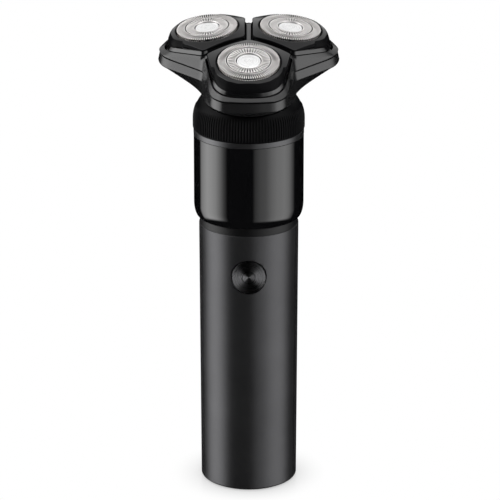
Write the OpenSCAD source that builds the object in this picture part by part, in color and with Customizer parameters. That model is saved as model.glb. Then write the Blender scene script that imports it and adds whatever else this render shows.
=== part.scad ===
// Rotary electric shaver: a straight handle with a forward-tilted head of three rocking lobes.
// Millimetres. Origin at the centre of the foot face, +Z up the handle, the button faces -Y.

/* [Handle tube] */
// Diameter of the tube at its upper end
tube_top_d = 36.0; // [33:0.5:40]
// Diameter of the tube just above the rounded lower edge
tube_low_d = 35.1; // [32:0.5:39]
// Height of the tube's upper end
tube_top_z = 99.5; // [96:0.5:120]
// Wall of the tube
tube_wall = 1.6; // [1.2:0.1:2]
// Radius of the rounded lower edge
base_round = 2.6; // [1.5:0.1:3.2]
// Diameter of the foot disc
foot_d = 29.4; // [28:0.1:30]
// Height of the foot disc
foot_h = 1.0; // [0.8:0.1:1.6]
// Diameter of the plug that enters the tube
plug_d = 26.0; // [24:0.5:27]
// Height of the plug above the foot disc
plug_h = 8.0; // [6:0.5:10]

/* [Charging socket] */
// Width of the socket shell
socket_w = 9.0; // [8.6:0.1:9.4]
// Height of the socket shell
socket_t = 3.3; // [3:0.1:3.6]
// Wall of the socket shell
socket_wall = 0.3; // [0.2:0.05:0.5]
// Distance of the socket from the handle's middle, towards the back
socket_y = 6.0; // [5:0.1:7.5]

/* [Button] */
// Distance of the button's middle below the tube's upper end
button_drop = 15.5; // [11.5:0.5:21.5]
// Diameter of the button
button_d = 12.2; // [10:0.1:13]
// Gap between the button and the tube
button_gap = 0.35; // [0.3:0.05:0.5]
// Travel of the button
button_travel = 0.7; // [0.4:0.1:0.8]
// Diameter of the dimple in the button face
dimple_d = 4.6; // [3:0.1:6]

/* [Upper sleeve] */
// Height of the dark ring under the sleeve
joint_h = 2.9; // [2:0.1:4]
// Step of the dark ring inside the tube's diameter
joint_step = 0.25; // [0.1:0.05:0.5]
// Diameter of the sleeve
sleeve_d = 39.6; // [38.6:0.2:43]
// Height of the sleeve
sleeve_h = 30.7; // [28:0.1:36]
// Height of the sleeve's rounded lower edge
sleeve_round_h = 5.1; // [4:0.1:6]
// Wall of the sleeve
sleeve_wall = 1.6; // [1.2:0.1:2]
// Height of the trim ring
trim_h = 2.0; // [1.5:0.1:3]

/* [Neck collar] */
// Height of the collar's upright wall
collar_wall_h = 3.6; // [3:0.1:5]
// Radius of the collar's shoulder
collar_round = 12.6; // [12:0.1:13.4]
// Height of the ribbed zone
rib_zone_h = 8.8; // [6:0.1:9.6]
// Number of ribs
rib_count = 120; // [60:12:132]
// How far the ribs stand out
rib_proud = 0.25; // [0.15:0.05:0.3]
// Diameter of the neck stub that carries the head
stub_d = 18.0; // [16:0.5:19]

/* [Head] */
// Forward tilt of the head against the handle
head_tilt = 11; // [8:0.5:13]
// Distance of the cap plane from the neck point
cap_q = 34.0; // [34:0.1:36]
// Outward tilt of each lobe
lobe_tilt = 7; // [6:0.5:8]
// Reach of a lobe from the head axis
lobe_reach = 29.0; // [28.7:0.1:29.4]
// Half width of a lobe at its outer end
lobe_end_half = 11.5; // [11:0.1:11.8]
// Half of the gap between two lobes
lobe_gap_half = 1.4; // [1.35:0.05:1.5]
// Distance of the notch corner from the head axis
notch_r = 18.0; // [17.6:0.1:18.3]
// How far the frame reaches beyond a lobe's end
frame_rim = 2.9; // [2.8:0.1:3.2]
// How much the frame's end is wider than a lobe's, to each side
frame_side = 1.9; // [1.8:0.05:2.1]
// Radius of the curve of a lobe's outer end, seen from above
end_curve_r = 48; // [44:1:56]
// Diameter of the neck end of the head
neck_d = 33.6; // [32:0.2:34.4]

/* [Shaving caps] */
// Diameter of a cap
cap_d = 21.7; // [20.6:0.1:21.8]
// Diameter of the bright disc
disc_d = 8.8; // [8:0.1:9.4]
// Number of slots in the inner ring
inner_slots = 42; // [36:6:60]
// Number of slots in the outer ring
outer_slots = 84; // [60:6:96]
// Width of a slot in the inner ring
inner_slot_w = 0.34; // [0.2:0.02:0.34]
// Width of a slot in the outer ring
outer_slot_w = 0.28; // [0.2:0.02:0.34]

/* [Gear train] */
// Module of the gears
gear_module = 0.5; // [0.48:0.01:0.52]
// Width of the gears
gear_w = 2.6; // [2:0.1:2.8]

/* [Hidden] */
$fn = 64;
hull_fn = 48;
corner_steps = 6;
sliver = 0.05;
edge_h = 0.5;
over = 1.0;
fit = 0.05;
FRONT = -90;
RIGHT = 30;
LEFT = 150;
LOBES = [FRONT, RIGHT, LEFT];
NOTCHES = [90, 210, 330];

// Handle levels and radii
tube_top_r = tube_top_d / 2;
tube_low_r = tube_low_d / 2;
tube_low_z = foot_h + base_round;
foot_r = foot_d / 2;
foot_chamfer_w = 0.5;
foot_chamfer_h = 0.4;
foot_line = 0.3;
foot_line_in = 0.9;
foot_line_r = foot_r - foot_line_in;
plug_r = plug_d / 2;
plug_top_z = foot_h + plug_h;
tube_bore_r = tube_top_r - tube_wall;
tube_bore_low_r = tube_low_r - tube_wall;
tube_floor = 1.0;
tube_floor_z = tube_low_z + tube_floor;
joint_r = tube_top_r - joint_step;
joint_spigot_h = 5.0;
joint_spigot_up = 3.6;
joint_spigot_r = tube_bore_r - fit;
joint_wall = 1.3;
joint_bore_r = joint_spigot_r - joint_wall;
sleeve_z = tube_top_z + joint_h;
sleeve_r = sleeve_d / 2;
sleeve_foot_step = 0.2;
sleeve_foot_r = tube_top_r + sleeve_foot_step;
throat_step = 0.4;
sleeve_throat_r = joint_spigot_r + throat_step;
sleeve_bore_r = sleeve_r - sleeve_wall;
sleeve_steps = 6;
sleeve_ease = 1.0;
trim_z = sleeve_z + sleeve_h;
trim_proud = 0.05;
trim_r = sleeve_r + trim_proud;
trim_lip = 1.0;
trim_lip_h = 3.0;
collar_z = trim_z + trim_h;
collar_r = sleeve_r + trim_proud;
collar_shell = 1.6;
collar_steps = 12;

// Board, switch and button, set out from the button's level
button_r = button_d / 2;
button_hole_r = button_r + button_gap;
button_proud = 0.15;
button_z = tube_top_z - button_drop;
button_front = tube_low_r + (tube_top_r - tube_low_r) * button_z / tube_top_z + button_proud;
face_t = 0.6;
dimple_depth = 0.35;
flange_out = 0.9;
flange_r = button_r + flange_out;
flange_gap = 0.1;
flange_y = sqrt(pow(tube_bore_low_r, 2) - pow(flange_r, 2)) - flange_gap;
flange_t = 0.8;
stem_r = 2.4;
stem_l = 0.65;
stem_end = flange_y - flange_t - stem_l;
plunger_gap = 0.2;
plunger_end = stem_end - button_travel - plunger_gap;
plunger_r = 1.6;
switch_w = 6.0;
switch_t = 2.6;
plunger_l = 0.9;
board_front = plunger_end - plunger_l - switch_t;
board_t = 1.2;
board_back = board_front - board_t;
chassis_gap = 0.4;
chassis_r = tube_bore_low_r - chassis_gap;
chassis_wall = 2.6;
chassis_plate = 2.0;
board_gap = 0.1;
board_half = sqrt(pow(chassis_r, 2) - pow(board_front, 2)) - board_gap;
cell_r = 7.15;
cell_h = 50.0;
cell_tip_h = 1.0;
cell_lift = 3.0;
cell_z = plug_top_z + chassis_plate + cell_lift;
cell_y = 4.0;
board_drop = 2.0;
board_low_z = cell_z - board_drop;
chassis_top_z = tube_top_z - joint_spigot_h;
board_over = 9.0;
board_end_gap = 0.3;
board_top_z = min(chassis_top_z - chassis_plate - board_end_gap, button_z + board_over);
board_screw_r = 0.5;
board_screw_head_r = 0.9;
board_screw_h = 0.6;
board_screw_gap = 0.3;
board_screw_x = sqrt(pow(tube_bore_low_r, 2) - pow(board_front + board_screw_h, 2))
    - board_screw_head_r - board_screw_gap;
tab_t = 0.3;
tab_w = 6.0;
base_screw_x = 9.4;
base_screw_r = 1.0;
base_screw_head_r = 2.0;
tongue_w = 6.7;
tongue_t = 0.7;

// Head frame: levels along the tilted head axis, counted from the neck point
head_lift = 1.9;
head_z = collar_z + head_lift;
neck_drop = 23.2;
collar_cut_q = cap_q - neck_drop;
neck_gap = 0.4;
neck_q = collar_cut_q + neck_gap;
stub_r = stub_d / 2;
stub_bore_r = 6.0;
stub_h = 3.0;
stub_top_q = neck_q + stub_h;
stub_clear = 0.08;
chamber_floor = 1.5;
chamber_wall = 1.5;
band_low_drop = 12.8;
band_low_q = cap_q - band_low_drop;
band_top_drop = 9.2;
band_top_q = cap_q - band_top_drop;
frame_low_drop = 8.45;
frame_low_q = cap_q - frame_low_drop;
rim_w = -5.8;
band_inset = 0.4;
frame_back = 0.5;
notch_rim = 0.7;
frame_notch_r = notch_r + notch_rim;
frame_notch_over = 0.25;
frame_corner_r = 4.0;
rim_inset = 0.5;
opening_gap = 0.5;
stub_l = 2.2;
frame_clear_r = notch_r - stub_l;
spigot_inset = chamber_wall + fit;
neck_r = neck_d / 2;
frame_reach = lobe_reach + frame_rim;
frame_end_half = lobe_end_half + frame_side;

// Gear train along the head axis
sun_teeth = 24;
drive_teeth = 42;
gear_c = gear_module * (sun_teeth + drive_teeth) / 2;
pivot_drop = 5.5;
cap_circle_r = gear_c + pivot_drop * sin(lobe_tilt);
pressure_angle = 20;
tooth_thin = 0.35;
tip_k = 0.95;
root_k = 1.25;
gear_drop = 13.6;
gear_low_q = cap_q - gear_drop;
gear_top_q = gear_low_q + gear_w;
gear_clear = 0.6;
plate_top_q = gear_low_q - gear_clear;
plate_t = 1.2;
plate_low_q = plate_top_q - plate_t;
cover_drop = 10.35;
cover_low_q = cap_q - cover_drop;
cover_t = 0.9;
cover_top_q = cover_low_q + cover_t;
sun_hub_r = 4.0;
hub_drop = 0.4;
sun_hub_low_q = plate_low_q - hub_drop;
sun_pin_r = 1.5;
hex_flats = 4.0;
hex_gap = 0.1;
hex_end_gap = 0.4;
hex_depth = 1.3;
hex_tip_q = gear_low_q + hex_depth;
shank_r = 2.6;
shank_low_q = 6.0;
shank_drop = 3.0;
shank_top_q = plate_low_q - shank_drop;
journal_r = 1.5;
upper_journal_r = 2.2;
spindle_r = 1.0;
spindle_hex_flats = 3.0;
spindle_hex_h = 1.2;
spindle_hex_gap = 0.4;
journal_rise = 0.3;
journal_top_q = cover_top_q + journal_rise;
hex_low_q = cap_q - pivot_drop * cos(lobe_tilt) - spindle_hex_h / 2;
post_r = 2.2;
post_c = 12.6;
gear_screw_r = 0.8;
gear_screw_head_r = 1.5;
gear_screw_head_h = 0.7;
gear_screw_grip = 4.0;
gear_boss_r = 4.5;

// Motor on the head axis
motor_r = 10.0;
motor_wall = 1.0;
motor_end_t = 1.5;
motor_top_q = 2.0;
motor_h = 28.0;
motor_low_q = motor_top_q - motor_h;
shaft_r = 1.0;
shaft_inset = 0.3;
shaft_grip = 5.0;
shaft_top_q = shank_low_q + shaft_grip;
rotor_r = 7.0;
rotor_h = 18.0;
rotor_gap = 2.5;
rotor_low_q = motor_low_q + motor_end_t + rotor_gap;
mount_r = 12.5;
mount_t = 2.0;
mount_post_r = 2.0;
mount_post_c = 9.5;
mount_bore_r = 4.0;
collar_roof = 1.8;
collar_roof_q = collar_cut_q - collar_roof;
motor_screw_c = 6.5;
motor_screw_r = 1.0;
motor_screw_head_r = 1.8;
motor_screw_head_h = 1.2;

// Lobe: levels below the cap's top face, in the lobe's own tilted axes
cap_r = cap_d / 2;
disc_r = disc_d / 2;
cap_t = 0.55;
cap_wall = 0.6;
cap_gap = 0.3;
crown_w = -0.75;
crown_out = 0.9;
crown_r = cap_r + crown_out;
brow_w = -1.6;
brow_inset = 0.2;
brow_lip = 0.15;
brow_end_in = 2.4;
brow_corner_r = 5.0;
edge_w = -4.2;
edge_inset = 0.7;
strip_w = -5.3;
strip_low_w = -6.0;
seat_w = -2.25;
cap_flange_out = 0.65;
cap_flange_r = cap_r + cap_flange_out;
cap_flange_t = 0.95;
cap_flange_w = seat_w - cap_flange_t;
skirt_clear = 0.1;
skirt_bore_r = cap_flange_r + skirt_clear;
skirt_t = 0.8;
skirt_r = skirt_bore_r + skirt_t;
skirt_low_w = -6.9;
retainer_low_w = -4.5;
groove_r = 0.716 * cap_r;
groove_w = 0.45;
groove_depth = 0.3;
slot_start = 0.35;
slot_edge = 0.4;
inner_slot_from = disc_r + slot_start;
inner_slot_to = groove_r - slot_edge;
outer_slot_from = groove_r + slot_edge;
outer_slot_drop = 1.3;
disc_rise = 0.3;
disc_steps = 5;
disc_post_r = 0.8;
disc_post_w = -1.9;
blade_count = 12;
blade_t = 0.6;
blade_gap = 0.08;
cutter_clear = 0.5;
cutter_r = cap_r - cap_wall - cutter_clear;
cutter_top_w = -2.6;
cutter_low_w = -3.6;
cutter_hub_r = 3.4;
cutter_hub_low_w = -7.0;
cutter_boss_r = 1.8;
cutter_boss_w = -1.3;
cutter_socket_w = -4.3;
pin_r = 0.7;
pin_drop = 7.6;
pin_in_v = skirt_bore_r;
pin_boss_r = 1.2;
pin_boss_gap = 0.3;
ear_r = 1.4;
ear_t = 1.3;
ear_rise = strip_low_w + pin_drop + sliver;
spider_half = 0.85;
spider_top_w = -3.1;
spider_h = 4.0;
spider_end = 1.0;
spider_out_r = notch_r - spider_end;
spider_low_q = cap_q + spider_top_w - spider_h;

// Plan outlines, counter-clockwise, in lobe axes with the head axis at u = -cap_circle_r
function unit(v) = v / norm(v);
function side_normal(a, b) = let (d = unit(b - a)) [d[1], -d[0]];
function before(list, i) = list[(i + len(list) - 1) % len(list)];
function after(list, i) = list[(i + 1) % len(list)];
function grown(pts, d) = [
    for (i = [0 : len(pts) - 1])
        let (n0 = side_normal(before(pts, i), pts[i]))
        let (n1 = side_normal(pts[i], after(pts, i)))
        pts[i] + d * (n0 + n1) / (1 + n0 * n1)
];
function corner(p0, p, p1, r) =
    let (d0 = unit(p0 - p))
    let (d1 = unit(p1 - p))
    let (half = acos(d0 * d1) / 2)
    let (centre = p + unit(d0 + d1) * r / sin(half))
    let (from = p + d0 * r / tan(half) - centre)
    let (start = atan2(from[1], from[0]))
    [for (k = [0 : corner_steps])
        centre + r * [cos(start + (180 - 2 * half) * k / corner_steps),
            sin(start + (180 - 2 * half) * k / corner_steps)]];
function rounded(pts, radii) = [
    for (i = [0 : len(pts) - 1])
        each radii[i] > 0 ? corner(before(pts, i), pts[i], after(pts, i), radii[i]) : [pts[i]]
];
end_steps = 8;
function end_arc(reach, half) = [
    for (k = [0 : end_steps])
        let (a = asin(half / end_curve_r) * (2 * k / end_steps - 1))
        [reach - cap_circle_r - end_curve_r * (1 - cos(a)), end_curve_r * sin(a)]
];
function shield(inner_u, notch_u, notch_v, reach, half) = concat(
    [[inner_u - cap_circle_r, 0], [notch_u - cap_circle_r, -notch_v]],
    end_arc(reach, half),
    [[notch_u - cap_circle_r, notch_v]]
);
function shield_radii(inner, notch, end) = concat(
    [inner, notch, end],
    [for (k = [1 : end_steps - 1]) 0],
    [end, notch]
);
function sunk(pts, w) = [for (p = pts) [(p[0] - w * sin(lobe_tilt)) / cos(lobe_tilt), p[1]]];
lobe_corners = shield(lobe_gap_half / sin(60),
    notch_r * cos(60) + lobe_gap_half * sin(60),
    notch_r * sin(60) - lobe_gap_half * cos(60),
    lobe_reach, lobe_end_half);
lobe_corner_r = 3.4;
lobe_inner_r = 3.0;
lobe_notch_r = 1.0;
lobe_radii = shield_radii(lobe_inner_r, lobe_notch_r, lobe_corner_r);
brow_u = crown_r + brow_lip;
brow_half = lobe_end_half - brow_end_in;
brow_corners = [
    lobe_corners[0],
    lobe_corners[1],
    [brow_u, -brow_half],
    [brow_u, brow_half],
    lobe_corners[len(lobe_corners) - 1]
];
brow_radii = [lobe_inner_r, lobe_notch_r, brow_corner_r, brow_corner_r, lobe_notch_r];
opening_radii = shield_radii(lobe_inner_r + opening_gap, lobe_notch_r + opening_gap,
    lobe_corner_r + opening_gap);
frame_corners = shield(-frame_back,
    frame_notch_r * cos(60) - frame_notch_over,
    frame_notch_r * sin(60) + frame_notch_over,
    frame_reach, frame_end_half);
frame_radii = shield_radii(0, 0, frame_corner_r);
inner_radii = shield_radii(0, 0, frame_corner_r - chamber_wall);
cavity_radii = shield_radii(0, 0, 0);

function involute(a) = tan(a) * 180 / PI - a;
function flank(teeth, r) =
    let (rp = teeth * gear_module / 2)
    let (rb = rp * cos(pressure_angle))
    90 / teeth * (1 - tooth_thin * gear_module / rp) + involute(pressure_angle)
        - involute(r > rb ? acos(rb / r) : 0);
function gear_radii(teeth) =
    let (rp = teeth * gear_module / 2)
    [rp - root_k * gear_module, rp - 0.5 * gear_module, rp,
        rp + 0.5 * gear_module, rp + tip_k * gear_module];
function polar(r, a) = [r * cos(a), r * sin(a)];
function gear_outline(teeth) =
    let (radii = gear_radii(teeth))
    [for (i = [0 : teeth - 1])
        each concat(
            [for (r = radii) polar(r, 360 * i / teeth - flank(teeth, r))],
            [for (k = [len(radii) - 1 : -1 : 0])
                polar(radii[k], 360 * i / teeth + flank(teeth, radii[k]))])];

// Placement
module at_head() {
    translate([0, 0, head_z])
        rotate([head_tilt, 0, 0])
            children();
}
module in_plan(angle) {
    rotate([0, 0, angle])
        translate([cap_circle_r, 0, 0])
            children();
}
module tilted(angle) {
    in_plan(angle)
        translate([0, 0, cap_q])
            rotate([0, lobe_tilt, 0])
                children();
}
module at_lobe(angle) {
    at_head()
        tilted(angle)
            children();
}
module at_spindle(angle) {
    rotate([0, 0, angle])
        translate([gear_c, 0, 0])
            children();
}
module tube(r_out, r_in, z0, z1) {
    translate([0, 0, z0])
        linear_extrude(z1 - z0)
            difference() {
                circle(r_out);
                circle(r_in);
            }
}
module rod(r, z0, z1) {
    translate([0, 0, z0])
        cylinder(r = r, h = z1 - z0);
}
module hex_rod(flats, z0, z1) {
    translate([0, 0, z0])
        cylinder(r = flats / 2 / cos(30), h = z1 - z0, $fn = 6);
}
module slab(points, z0, z1) {
    translate([0, 0, z0])
        linear_extrude(z1 - z0)
            polygon(points);
}
module towards_front(z) {
    translate([0, 0, z])
        rotate([90, 0, 0])
            children();
}
module pill(w, t) {
    union() {
        square([w - t, t], center = true);
        translate([(w - t) / 2, 0])
            circle(t / 2);
        translate([-(w - t) / 2, 0])
            circle(t / 2);
    }
}

// Handle
function base_arc(k) = let (a = 90 * k / sleeve_steps)
    [foot_r + (tube_low_r - foot_r) * sin(a), tube_low_z - base_round * cos(a)];
module handle_tube() {
    color("#38393b")
        difference() {
            rotate_extrude()
                polygon(concat(
                    [[plug_r + fit, foot_h], [foot_line_r, foot_h], [foot_line_r, foot_h + foot_line],
                        [foot_r, foot_h + foot_line]],
                    [for (k = [1 : sleeve_steps]) base_arc(k) + [0, foot_line * (1 - k / sleeve_steps)]],
                    [[tube_top_r, tube_top_z], [tube_bore_r, tube_top_z],
                        [tube_bore_low_r, tube_floor_z], [plug_r + fit, tube_floor_z]]));
            towards_front(button_z)
                rod(button_hole_r, board_front, tube_top_r + over);
        }
}
seal_t = 1.1;
seal_rise = 1.4;
seal_z = foot_h + seal_rise;
seal_h = 1.2;
seal_step = 1.0;
module base_cap() {
    color("#1d1d1f")
        difference() {
            rotate_extrude()
                polygon([[0, 0], [foot_r - foot_chamfer_w, 0], [foot_r, foot_chamfer_h],
                    [foot_r, foot_h], [plug_r, foot_h], [plug_r, seal_z], [plug_r - seal_t, seal_z],
                    [plug_r - seal_t, seal_z + seal_h], [plug_r, seal_z + seal_h],
                    [plug_r, plug_top_z], [0, plug_top_z]]);
            translate([0, socket_y, -over])
                linear_extrude(plug_top_z + 2 * over)
                    pill(socket_w, socket_t);
            for (s = [-1, 1])
                translate([s * base_screw_x, 0, 0])
                    base_screw(fit);
        }
}
module base_screw(grow) {
    rod(base_screw_r + grow, -grow, plug_top_z + chassis_plate + grow);
    translate([0, 0, -grow])
        cylinder(r1 = base_screw_head_r + grow, r2 = base_screw_r + grow,
            h = base_screw_head_r - base_screw_r + grow);
}
driver_w = 0.5;
module base_screws() {
    color("#8a8c90")
        for (s = [-1, 1])
            translate([s * base_screw_x, 0, 0])
                difference() {
                    base_screw(0);
                    for (a = [0, 90])
                        rotate([0, 0, a])
                            cube([2 * base_screw_r, driver_w, 2 * driver_w], center = true);
                }
}
module base_seal() {
    color("#111111")
        tube(plug_r + fit, plug_r - seal_t, seal_z, seal_z + seal_h);
}
socket_low_z = 0.6;
tongue_low_z = 1.8;
module charge_socket() {
    color("#a9abae")
        difference() {
            translate([0, socket_y, socket_low_z])
                linear_extrude(plug_top_z - socket_low_z)
                    pill(socket_w, socket_t);
            translate([0, socket_y, -over])
                linear_extrude(plug_top_z - socket_wall + over)
                    pill(socket_w - 2 * socket_wall, socket_t - 2 * socket_wall);
        }
}
module charge_tongue() {
    color("#202225")
        translate([-tongue_w / 2, socket_y - tongue_t / 2, tongue_low_z])
            cube([tongue_w, tongue_t, plug_top_z - socket_wall - tongue_low_z]);
}
module joint_ring() {
    color("#0c0c0d")
        union() {
            tube(joint_r, joint_bore_r, tube_top_z, sleeve_z);
            tube(joint_spigot_r, joint_bore_r, tube_top_z - joint_spigot_h, tube_top_z);
            tube(sleeve_throat_r - fit, joint_bore_r, sleeve_z, sleeve_z + joint_spigot_up);
        }
}
function sleeve_edge(k) = let (t = k / sleeve_steps)
    [sleeve_foot_r + (sleeve_r - sleeve_foot_r) * sin(90 * t),
        sleeve_z + sleeve_round_h * (1 - cos(90 * t))];
module upper_sleeve() {
    color("#101011")
        rotate_extrude()
            polygon(concat(
                [[sleeve_throat_r, sleeve_z]],
                [for (k = [0 : sleeve_steps]) sleeve_edge(k)],
                [[sleeve_r, trim_z], [sleeve_bore_r, trim_z],
                    [sleeve_bore_r, sleeve_z + sleeve_round_h + sleeve_ease],
                    [sleeve_throat_r, sleeve_z + joint_spigot_up]]));
}
module trim_ring() {
    color("#3b3c3e")
        union() {
            tube(trim_r, sleeve_bore_r - trim_lip, trim_z, collar_z);
            tube(sleeve_bore_r - fit, sleeve_bore_r - trim_lip, trim_z - trim_lip_h, trim_z);
        }
}
function collar_arc(r, k) = let (a = 90 * k / collar_steps)
    [collar_r - collar_round + r * cos(a), collar_z + collar_wall_h + r * sin(a)];
module collar_dome(inset) {
    rotate_extrude()
        polygon(concat(
            [[0, collar_z - (inset > 0 ? over : 0)], [collar_r - inset, collar_z - (inset > 0 ? over : 0)]],
            [for (k = [0 : collar_steps]) collar_arc(collar_round - inset, k)],
            [[0, collar_z + collar_wall_h + collar_round - inset]]));
}
rib_turn = 360 / rib_count;
rib_sink = 0.4;
rib_rise = asin((rib_zone_h - collar_wall_h) / collar_round);
rib_steps = 4;
function rib_arc(r, k) = let (a = rib_rise * k / rib_steps)
    [collar_r - collar_round + r * cos(a), collar_z + collar_wall_h + r * sin(a)];
module collar_rib() {
    rotate_extrude(angle = rib_turn / 2)
        polygon(concat(
            [[collar_r - rib_sink, collar_z + rib_proud], [collar_r + rib_proud, collar_z + rib_proud]],
            [for (k = [0 : rib_steps - 1]) rib_arc(collar_round + rib_proud, k)],
            [rib_arc(collar_round, rib_steps)],
            [for (k = [rib_steps : -1 : 0]) rib_arc(collar_round - rib_sink, k)]));
}
module neck_collar() {
    color("#161617")
        union() {
            difference() {
                intersection() {
                    collar_dome(0);
                    at_head()
                        rod(2 * collar_r, -2 * collar_r, collar_cut_q);
                }
                intersection() {
                    collar_dome(collar_shell);
                    at_head()
                        rod(2 * collar_r, -2 * collar_r, collar_roof_q);
                }
                at_head()
                    rod(stub_bore_r, 0, cap_q);
            }
            at_head()
                tube(stub_r, stub_bore_r, collar_cut_q - collar_roof / 2, stub_top_q);
            for (i = [0 : rib_count - 1])
                rotate([0, 0, (i - 1 / 4) * rib_turn])
                    collar_rib();
        }
}
module neck_seal() {
    color("#1b1b1b")
        at_head()
            tube(stub_bore_r, shank_r + fit, collar_cut_q, stub_top_q - seal_step);
}
module chassis_ring() {
    difference() {
        circle(chassis_r);
        circle(chassis_r - chassis_wall);
        translate([-2 * chassis_r, -board_back - 4 * chassis_r])
            square(4 * chassis_r);
    }
}
module chassis_web() {
    difference() {
        circle(chassis_r);
        translate([0, cell_y])
            circle(cell_r + fit);
        translate([-2 * chassis_r, -board_back - 4 * chassis_r])
            square(4 * chassis_r);
    }
}
web_inset = 9.0;
web_z = [cell_z + web_inset, cell_z + cell_h - web_inset];
module chassis() {
    color("#5b5d60")
        difference() {
            union() {
                translate([0, 0, plug_top_z])
                    linear_extrude(chassis_top_z - plug_top_z)
                        chassis_ring();
                for (z = web_z)
                    translate([0, 0, z])
                        linear_extrude(chassis_plate)
                            chassis_web();
                rod(chassis_r, plug_top_z, plug_top_z + chassis_plate);
                tube(chassis_r, chassis_r - chassis_wall, chassis_top_z - chassis_plate, chassis_top_z);
            }
            for (s = [-1, 1])
                translate([s * base_screw_x, 0, 0])
                    base_screw(0);
            board_screw_places()
                rod(board_screw_r, -board_screw_grip, over);
        }
}
board_screw_grip = 2.5;
board_screw_rise = 21.0;
board_screw_fall = 5.0;
board_screw_z = [board_low_z + board_screw_rise, board_top_z - board_screw_fall];
module board_screw_places() {
    for (x = [-board_screw_x, board_screw_x])
        for (z = board_screw_z)
            translate([x, -board_back, z])
                rotate([90, 0, 0])
                    children();
}
module battery_cell() {
    color("#2f6f4e")
        translate([0, cell_y, 0])
            union() {
                rod(cell_r, cell_z, cell_z + cell_h - cell_tip_h);
                rod(cell_r / 3, cell_z + cell_h - cell_tip_h, cell_z + cell_h);
            }
}
module cell_tabs() {
    color("#b8b8b4")
        for (z = [cell_z - tab_t, cell_z + cell_h])
            translate([-tab_w / 2, -board_back, z])
                cube([tab_w, board_back + cell_y + tab_w / 2, tab_t]);
}
module circuit_board() {
    color("#1f5a3c")
        difference() {
            translate([-board_half, -board_front, board_low_z])
                cube([2 * board_half, board_t, board_top_z - board_low_z]);
            board_screw_places()
                rod(board_screw_r, -over, board_t + over);
        }
}
module board_switch() {
    color("#2a2a2c")
        union() {
            translate([-switch_w / 2, -board_front - switch_t, button_z - switch_w / 2])
                cube([switch_w, switch_t, switch_w]);
            towards_front(button_z)
                rod(plunger_r, board_front + switch_t / 2, plunger_end);
        }
}
module board_screws() {
    color("#9a9ca0")
        board_screw_places()
            union() {
                rod(board_screw_r, -board_screw_grip, board_t);
                rod(board_screw_head_r, board_t, board_t + board_screw_h);
            }
}
module power_button() {
    color("#1a1a1c")
        towards_front(button_z)
            union() {
                rod(button_r, flange_y - flange_t, button_front - face_t);
                rod(flange_r, flange_y - flange_t, flange_y);
                rod(stem_r, stem_end, flange_y - flange_t);
            }
}
face_line = 0.12;
module button_face() {
    color("#4a4b4e")
        towards_front(button_z)
            translate([0, 0, button_front - face_t])
                rotate_extrude()
                    polygon([[0, 0], [button_r, 0], [button_r, face_t - face_line],
                        [button_r - face_line, face_t], [dimple_d / 2, face_t],
                        [dimple_d / 2 - face_line, face_t - dimple_depth], [0, face_t - dimple_depth]]);
}
module motor_can() {
    color("#9da0a3")
        at_head()
            difference() {
                rod(motor_r, motor_low_q, motor_top_q);
                rod(motor_r - motor_wall, motor_low_q + motor_end_t, motor_top_q - motor_end_t);
                rod(shaft_r + fit, motor_low_q - over, motor_top_q + over);
                motor_screw_places()
                    rod(motor_screw_r, motor_top_q - motor_end_t - over, motor_top_q + over);
            }
}
module motor_screw_places() {
    for (s = [-1, 1])
        translate([s * motor_screw_c, 0, 0])
            children();
}
module motor_mount() {
    color("#66686b")
        at_head()
            difference() {
                union() {
                    rod(mount_r, motor_top_q, motor_top_q + mount_t);
                    for (a = NOTCHES)
                        rotate([0, 0, a])
                            translate([mount_post_c, 0, 0])
                                rod(mount_post_r, motor_top_q, collar_roof_q);
                }
                rod(mount_bore_r, 0, cap_q);
                motor_screw_places()
                    rod(motor_screw_r, 0, cap_q);
            }
}
module motor_screws() {
    color("#b0b2b5")
        at_head()
            motor_screw_places()
                union() {
                    rod(motor_screw_r, motor_top_q - motor_end_t, motor_top_q + mount_t);
                    rod(motor_screw_head_r, motor_top_q + mount_t,
                        motor_top_q + mount_t + motor_screw_head_h);
                }
}
module motor_shaft() {
    color("#c4c6c8")
        at_head()
            rod(shaft_r, motor_low_q + shaft_inset, shaft_top_q);
}
module motor_rotor() {
    color("#7c6a4a")
        at_head()
            tube(rotor_r, shaft_r, rotor_low_q, rotor_low_q + rotor_h);
}
module drive_coupling() {
    color("#d8d8d4")
        at_head()
            difference() {
                union() {
                    rod(shank_r, shank_low_q, shank_top_q);
                    hex_rod(hex_flats, shank_top_q, hex_tip_q);
                }
                rod(shaft_r, shank_low_q - over, shaft_top_q);
            }
}

// Head
module band_slab(grow, q0, q1, radii) {
    slab(rounded(grown(frame_corners, grow), radii), q0, q1);
}
module chamber_lobe(inset) {
    hull() {
        band_slab(-inset, (band_low_q + band_top_q) / 2, band_top_q + (inset > 0 ? over : 0),
            inset > 0 ? cavity_radii : frame_radii);
        band_slab(-inset - band_inset, band_low_q, band_low_q + edge_h,
            inset > 0 ? cavity_radii : frame_radii);
        translate([-cap_circle_r, 0, neck_q + (inset > 0 ? chamber_floor : 0)])
            cylinder(r = neck_r - inset, h = edge_h, $fn = hull_fn);
    }
}
module chamber_body(inset) {
    for (a = LOBES)
        in_plan(a)
            chamber_lobe(inset);
}
module gear_screw_places() {
    for (a = NOTCHES)
        rotate([0, 0, a])
            translate([post_c, 0, 0])
                children();
}
module chamber_shell() {
    color("#131314")
        at_head()
            difference() {
                union() {
                    difference() {
                        chamber_body(0);
                        chamber_body(chamber_wall);
                    }
                    gear_screw_places()
                        rod(post_r, neck_q + chamber_floor / 2, plate_low_q);
                }
                rod(stub_r + stub_clear, 0, neck_q + chamber_floor + over);
                gear_screw_places()
                    rod(gear_screw_r, plate_low_q - gear_screw_grip, cap_q);
            }
}
module frame_lobe(a) {
    hull() {
        tilted(a)
            slab(rounded(grown(frame_corners, -rim_inset), frame_radii), rim_w - sliver, rim_w);
        in_plan(a)
            band_slab(0, frame_low_q, frame_low_q + sliver, frame_radii);
    }
}
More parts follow.
